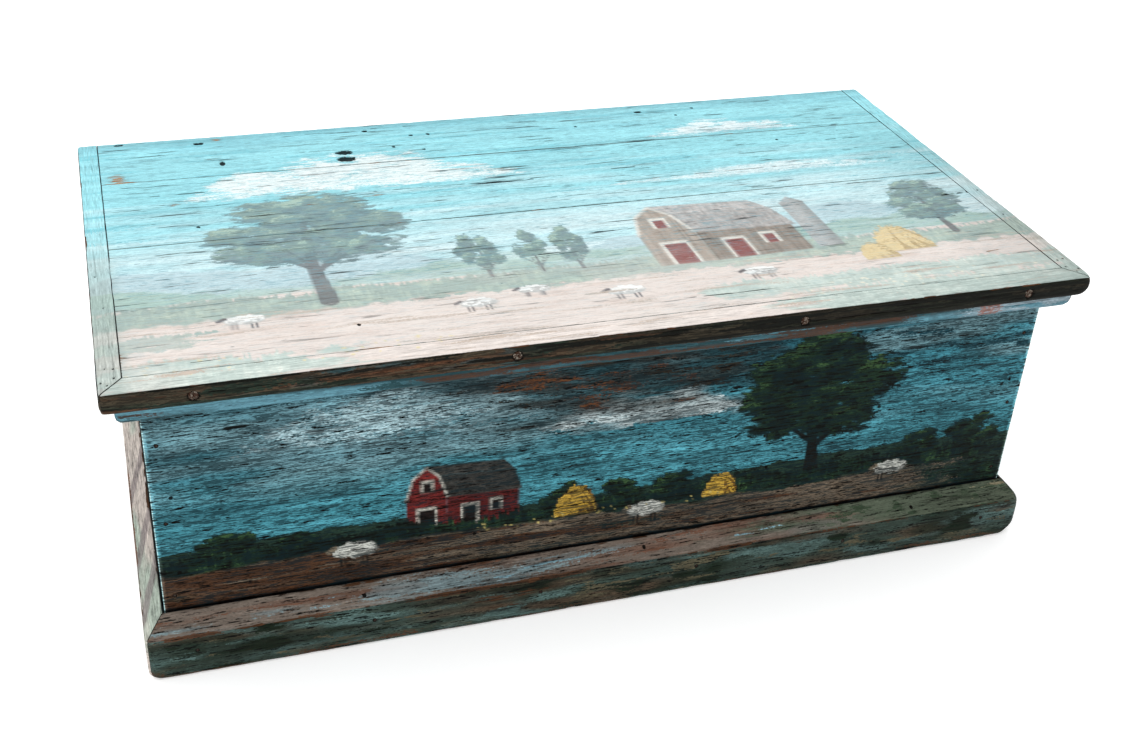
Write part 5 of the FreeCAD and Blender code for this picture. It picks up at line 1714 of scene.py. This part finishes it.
    def build_lip(self) -> None:
        """Build the rounded lip in light blue, rubbed darker and browner in the middle."""
        box = Box.of("lid_lip_left")
        width = box.size[0]
        section = rectangle(width, box, (12.0, 0.6, 0.6, 0.6), (3.0, 6.0, 6.0, 1.4))
        for piece in self.mouldings("lid_lip", section, (width, width), 2.2, 111):
            piece.weather(1.6, 0.8, 0.25, 0.12, 0.18).knock(box.low[2], 1, 3.0, 3.5)
            coat, patches = piece.coat, piece.coat.patches
            rubbed = 0.55 * (1 - ramp(np.abs(piece.x - 20), 120, 400))
            coat.lay((104, 156, 172))
            coat.dab((44, 78, 84), patches(110, 5, 1, 0.35, 0.95, rubbed) * 0.9)
            coat.dab((80, 58, 46), patches(90, 5, 3, 0.6, 1.0, 0.6 * rubbed) * 0.8)
            coat.dab((164, 184, 194), ramp(piece.x, 300, 400) * patches(60, 6, 5, 0.2, 0.6) * 0.9)
            coat.dab((150, 112, 104), (1 - ramp(np.abs(piece.x - 375), 8, 22)) * 0.6)
            piece.build(LIP_PAINT[piece.axis], self.body, "lip_paint")


@dataclass(frozen=True)
class Head:
    """A nail's or screw's head on a square grid, which is bent to a disk for a round head.

    Its height falls with the square of the distance from its middle, less the slot, and its last ring
    drops to make its rim.
    """

    radius: float
    sunk: float
    rise: float
    steps: int
    round: bool = False
    slot: float = 0.0
    rim: float = 1.2

    def surface(self, turn: float, noise: Noise) -> Array:
        """Work out the head's grid.

        Args:
            turn: How far the head is turned.
            noise: What dents it.

        Returns:
            Places across, along and out of the face, in millimetres.
        """
        u, v = np.meshgrid(*[np.linspace(-1, 1, self.steps)] * 2, indexing="ij")
        edge = np.maximum(np.abs(u), np.abs(v)) > 0.999
        x, y = (u * np.sqrt(1 - v * v / 2), v * np.sqrt(1 - u * u / 2)) if self.round else (0.9 * u, 0.9 * v)
        out = self.rise * (1 - x * x - y * y) - self.sunk
        out += 0.18 * self.radius * (noise.fractal(u * 1.3 + 7 * turn, v * 1.3, 2) - 0.7)
        if self.slot:
            out -= 0.9 * (1 - ramp(np.abs(y) * self.radius, self.slot * 0.7, self.slot * 1.2))
        out = np.where(edge, out - self.rim, out)
        cos, sin = math.cos(turn), math.sin(turn)
        return np.stack((x * cos - y * sin, x * sin + y * cos, out / self.radius)) * self.radius

    def build(self, node: str, finish: Finish, body: str, slot: str, seed: int) -> None:
        """Put a head on each nail or screw of a node, at the end that faces out of the chest.

        Args:
            node: The node that they stand for.
            finish: What they are finished in.
            body: The body that they ride on.
            slot: A material slot's name.
            seed: Seed of their turns and dents.
        """
        rng, noise, size = np.random.default_rng(seed), Noise(seed), self.steps * self.steps
        points, faces = [], []
        grid = np.arange(size).reshape(self.steps, self.steps)
        quads = np.stack((grid[:-1, :-1], grid[1:, :-1], grid[1:, 1:], grid[:-1, 1:]), axis=-1).reshape(-1, 4)
        rim = np.concatenate((grid[0, :-1], grid[:-1, -1], grid[-1, :0:-1], grid[:0:-1, 0]))
        for number, island in enumerate(islands(node)):
            centre, way = island.middle, int(np.argmax(island.size))
            sense, across, place = (1 if centre[way] > 0 else -1), 1 - way, np.zeros((size, 3))
            x, y, out = self.surface(rng.uniform(0, np.pi), noise).reshape(3, size)
            place[:, across] = centre[across] + x * sense * (1 if way == 0 else -1)
            place[:, 2] = centre[2] + y
            place[:, way] = (island.high if sense > 0 else island.low)[way] + sense * out
            points.append(place / METRE)
            faces += (quads + number * size).tolist() + [(rim + number * size).tolist()]
        mesh = bpy.data.meshes.new("worn_" + node)
        mesh.from_pydata(np.concatenate(points).tolist(), [], faces)
        show(mesh, finish, body, node, slot)


@dataclass
class Metalwork:
    """Hinges, nails and screws: heads that show are made anew, and the rest only get their finish."""

    nail: Head = Head(1.9, 0.7, 0.35, 7)
    screw: Head = Head(4.5, 0.9, 0.9, 27, True, 0.65)

    NAILS = (("front_board_nails", "case"), ("back_board_nails", "case"), ("plinth_nails", "case"),
             ("lid_mitre_nails", "lid"))
    KEPT = ((OLD_IRON, "old_iron", ("hinge_left_case_leaf", "hinge_left_lid_leaf", "hinge_right_case_leaf",
                                    "hinge_right_lid_leaf", "cleat_nails", "bottom_board_nails",
                                    "lid_lip_nails", "lid_batten_nails")),
            (WORN_STEEL, "worn_steel", ("hinge_left_pin", "hinge_right_pin", "hinge_case_screws",
                                        "hinge_lid_screws")))

    def build(self) -> None:
        """Build the heads, and finish the nodes that stay as they are."""
        for number, (node, body) in enumerate(self.NAILS):
            self.nail.build(node, OLD_IRON, body, "old_iron", 121 + number)
        self.screw.build("lid_edging_screws", WORN_STEEL, "lid", "worn_steel", 131)
        for finish, slot, nodes in self.KEPT:
            for node in nodes:
                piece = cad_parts[node]
                piece.data.materials.clear()
                piece.data.materials.append(finish.material())
                LOG.info("%s: kept, finished in %s", node, finish.name)


@dataclass
class Studio:
    """The floor, the light and the camera, in metres."""

    floor_size: float = 30.0
    eye: tuple[float, float, float] = (-0.4430, -1.3345, 0.9991)
    right: tuple[float, float, float] = (0.95307, -0.29913, 0.04660)
    up: tuple[float, float, float] = (0.12160, 0.51921, 0.84595)
    lens: float = 46.45
    film: float = 36.0
    drop: float = 0.0002

    LAMPS = (("overhead", (-0.2, 1.0, 2.4), (0.0, 0.0, 0.3), 2.4, 20.0),
             ("left", (-2.6, -0.6, 1.6), (0.0, 0.0, 0.2), 1.6, 10.0))
    FLOOR_LOOK = {"Base Color": (0.98, 0.98, 0.98, 1.0), "Roughness": 0.9, "Specular IOR Level": 0.0,
                  "Emission Color": (1.0, 1.0, 1.0, 1.0), "Emission Strength": 0.32}

    def build(self) -> None:
        """Lay a plain pale floor just under the chest, light the room evenly, and set the camera."""
        half, drop = self.floor_size / 2, -self.drop
        mesh = bpy.data.meshes.new("floor")
        mesh.from_pydata([(-half, -half, drop), (half, -half, drop), (half, half, drop), (-half, half, drop)],
                         [], [(0, 1, 2, 3)])
        material = bpy.data.materials.new("pale_floor")
        material.use_nodes = True
        for key, value in self.FLOOR_LOOK.items():
            material.node_tree.nodes["Principled BSDF"].inputs[key].default_value = value
        mesh.materials.append(material)
        self.place("floor", mesh)

        world = bpy.context.scene.world = bpy.data.worlds.new("studio")
        world.use_nodes = True
        for key, value in (("Color", (1.0, 1.0, 1.0, 1.0)), ("Strength", 1.0)):
            world.node_tree.nodes["Background"].inputs[key].default_value = value
        for name, place, aim, size, power in self.LAMPS:
            lamp = bpy.data.lights.new(name, "AREA")
            lamp.size, lamp.energy = size, power
            stand = self.place(name, lamp)
            stand.location = place
            stand.rotation_euler = (stand.location - Vector(aim)).to_track_quat("Z", "Y").to_euler()

        data = bpy.data.cameras.new("camera")
        data.lens, data.sensor_width = self.lens, self.film
        ways = np.stack((self.right, self.up, np.cross(self.right, self.up)), axis=1)
        turn = Matrix(ways.tolist()).to_4x4()
        turn.translation = self.eye
        camera = bpy.context.scene.camera = self.place("camera", data)
        camera.matrix_world = turn
        bpy.context.scene.view_settings.view_transform = "Standard"

    @staticmethod
    def place(name: str, data: bpy.types.ID) -> bpy.types.Object:
        """Return a new object of the scene.

        Args:
            name: Its name.
            data: Its mesh, lamp or camera.

        Returns:
            The object.
        """
        made = bpy.data.objects.new(name, data)
        bpy.context.scene.collection.objects.link(made)
        return made


def main() -> None:
    """Build the chest and its studio in order."""
    logging.basicConfig(level=logging.INFO, format="%(name)s %(message)s")
    for part in (Case(), Plinth(), Lid(), Metalwork(), Studio()):
        LOG.info("%s", type(part).__name__)
        part.build()


if __name__ == "__main__":
    main()
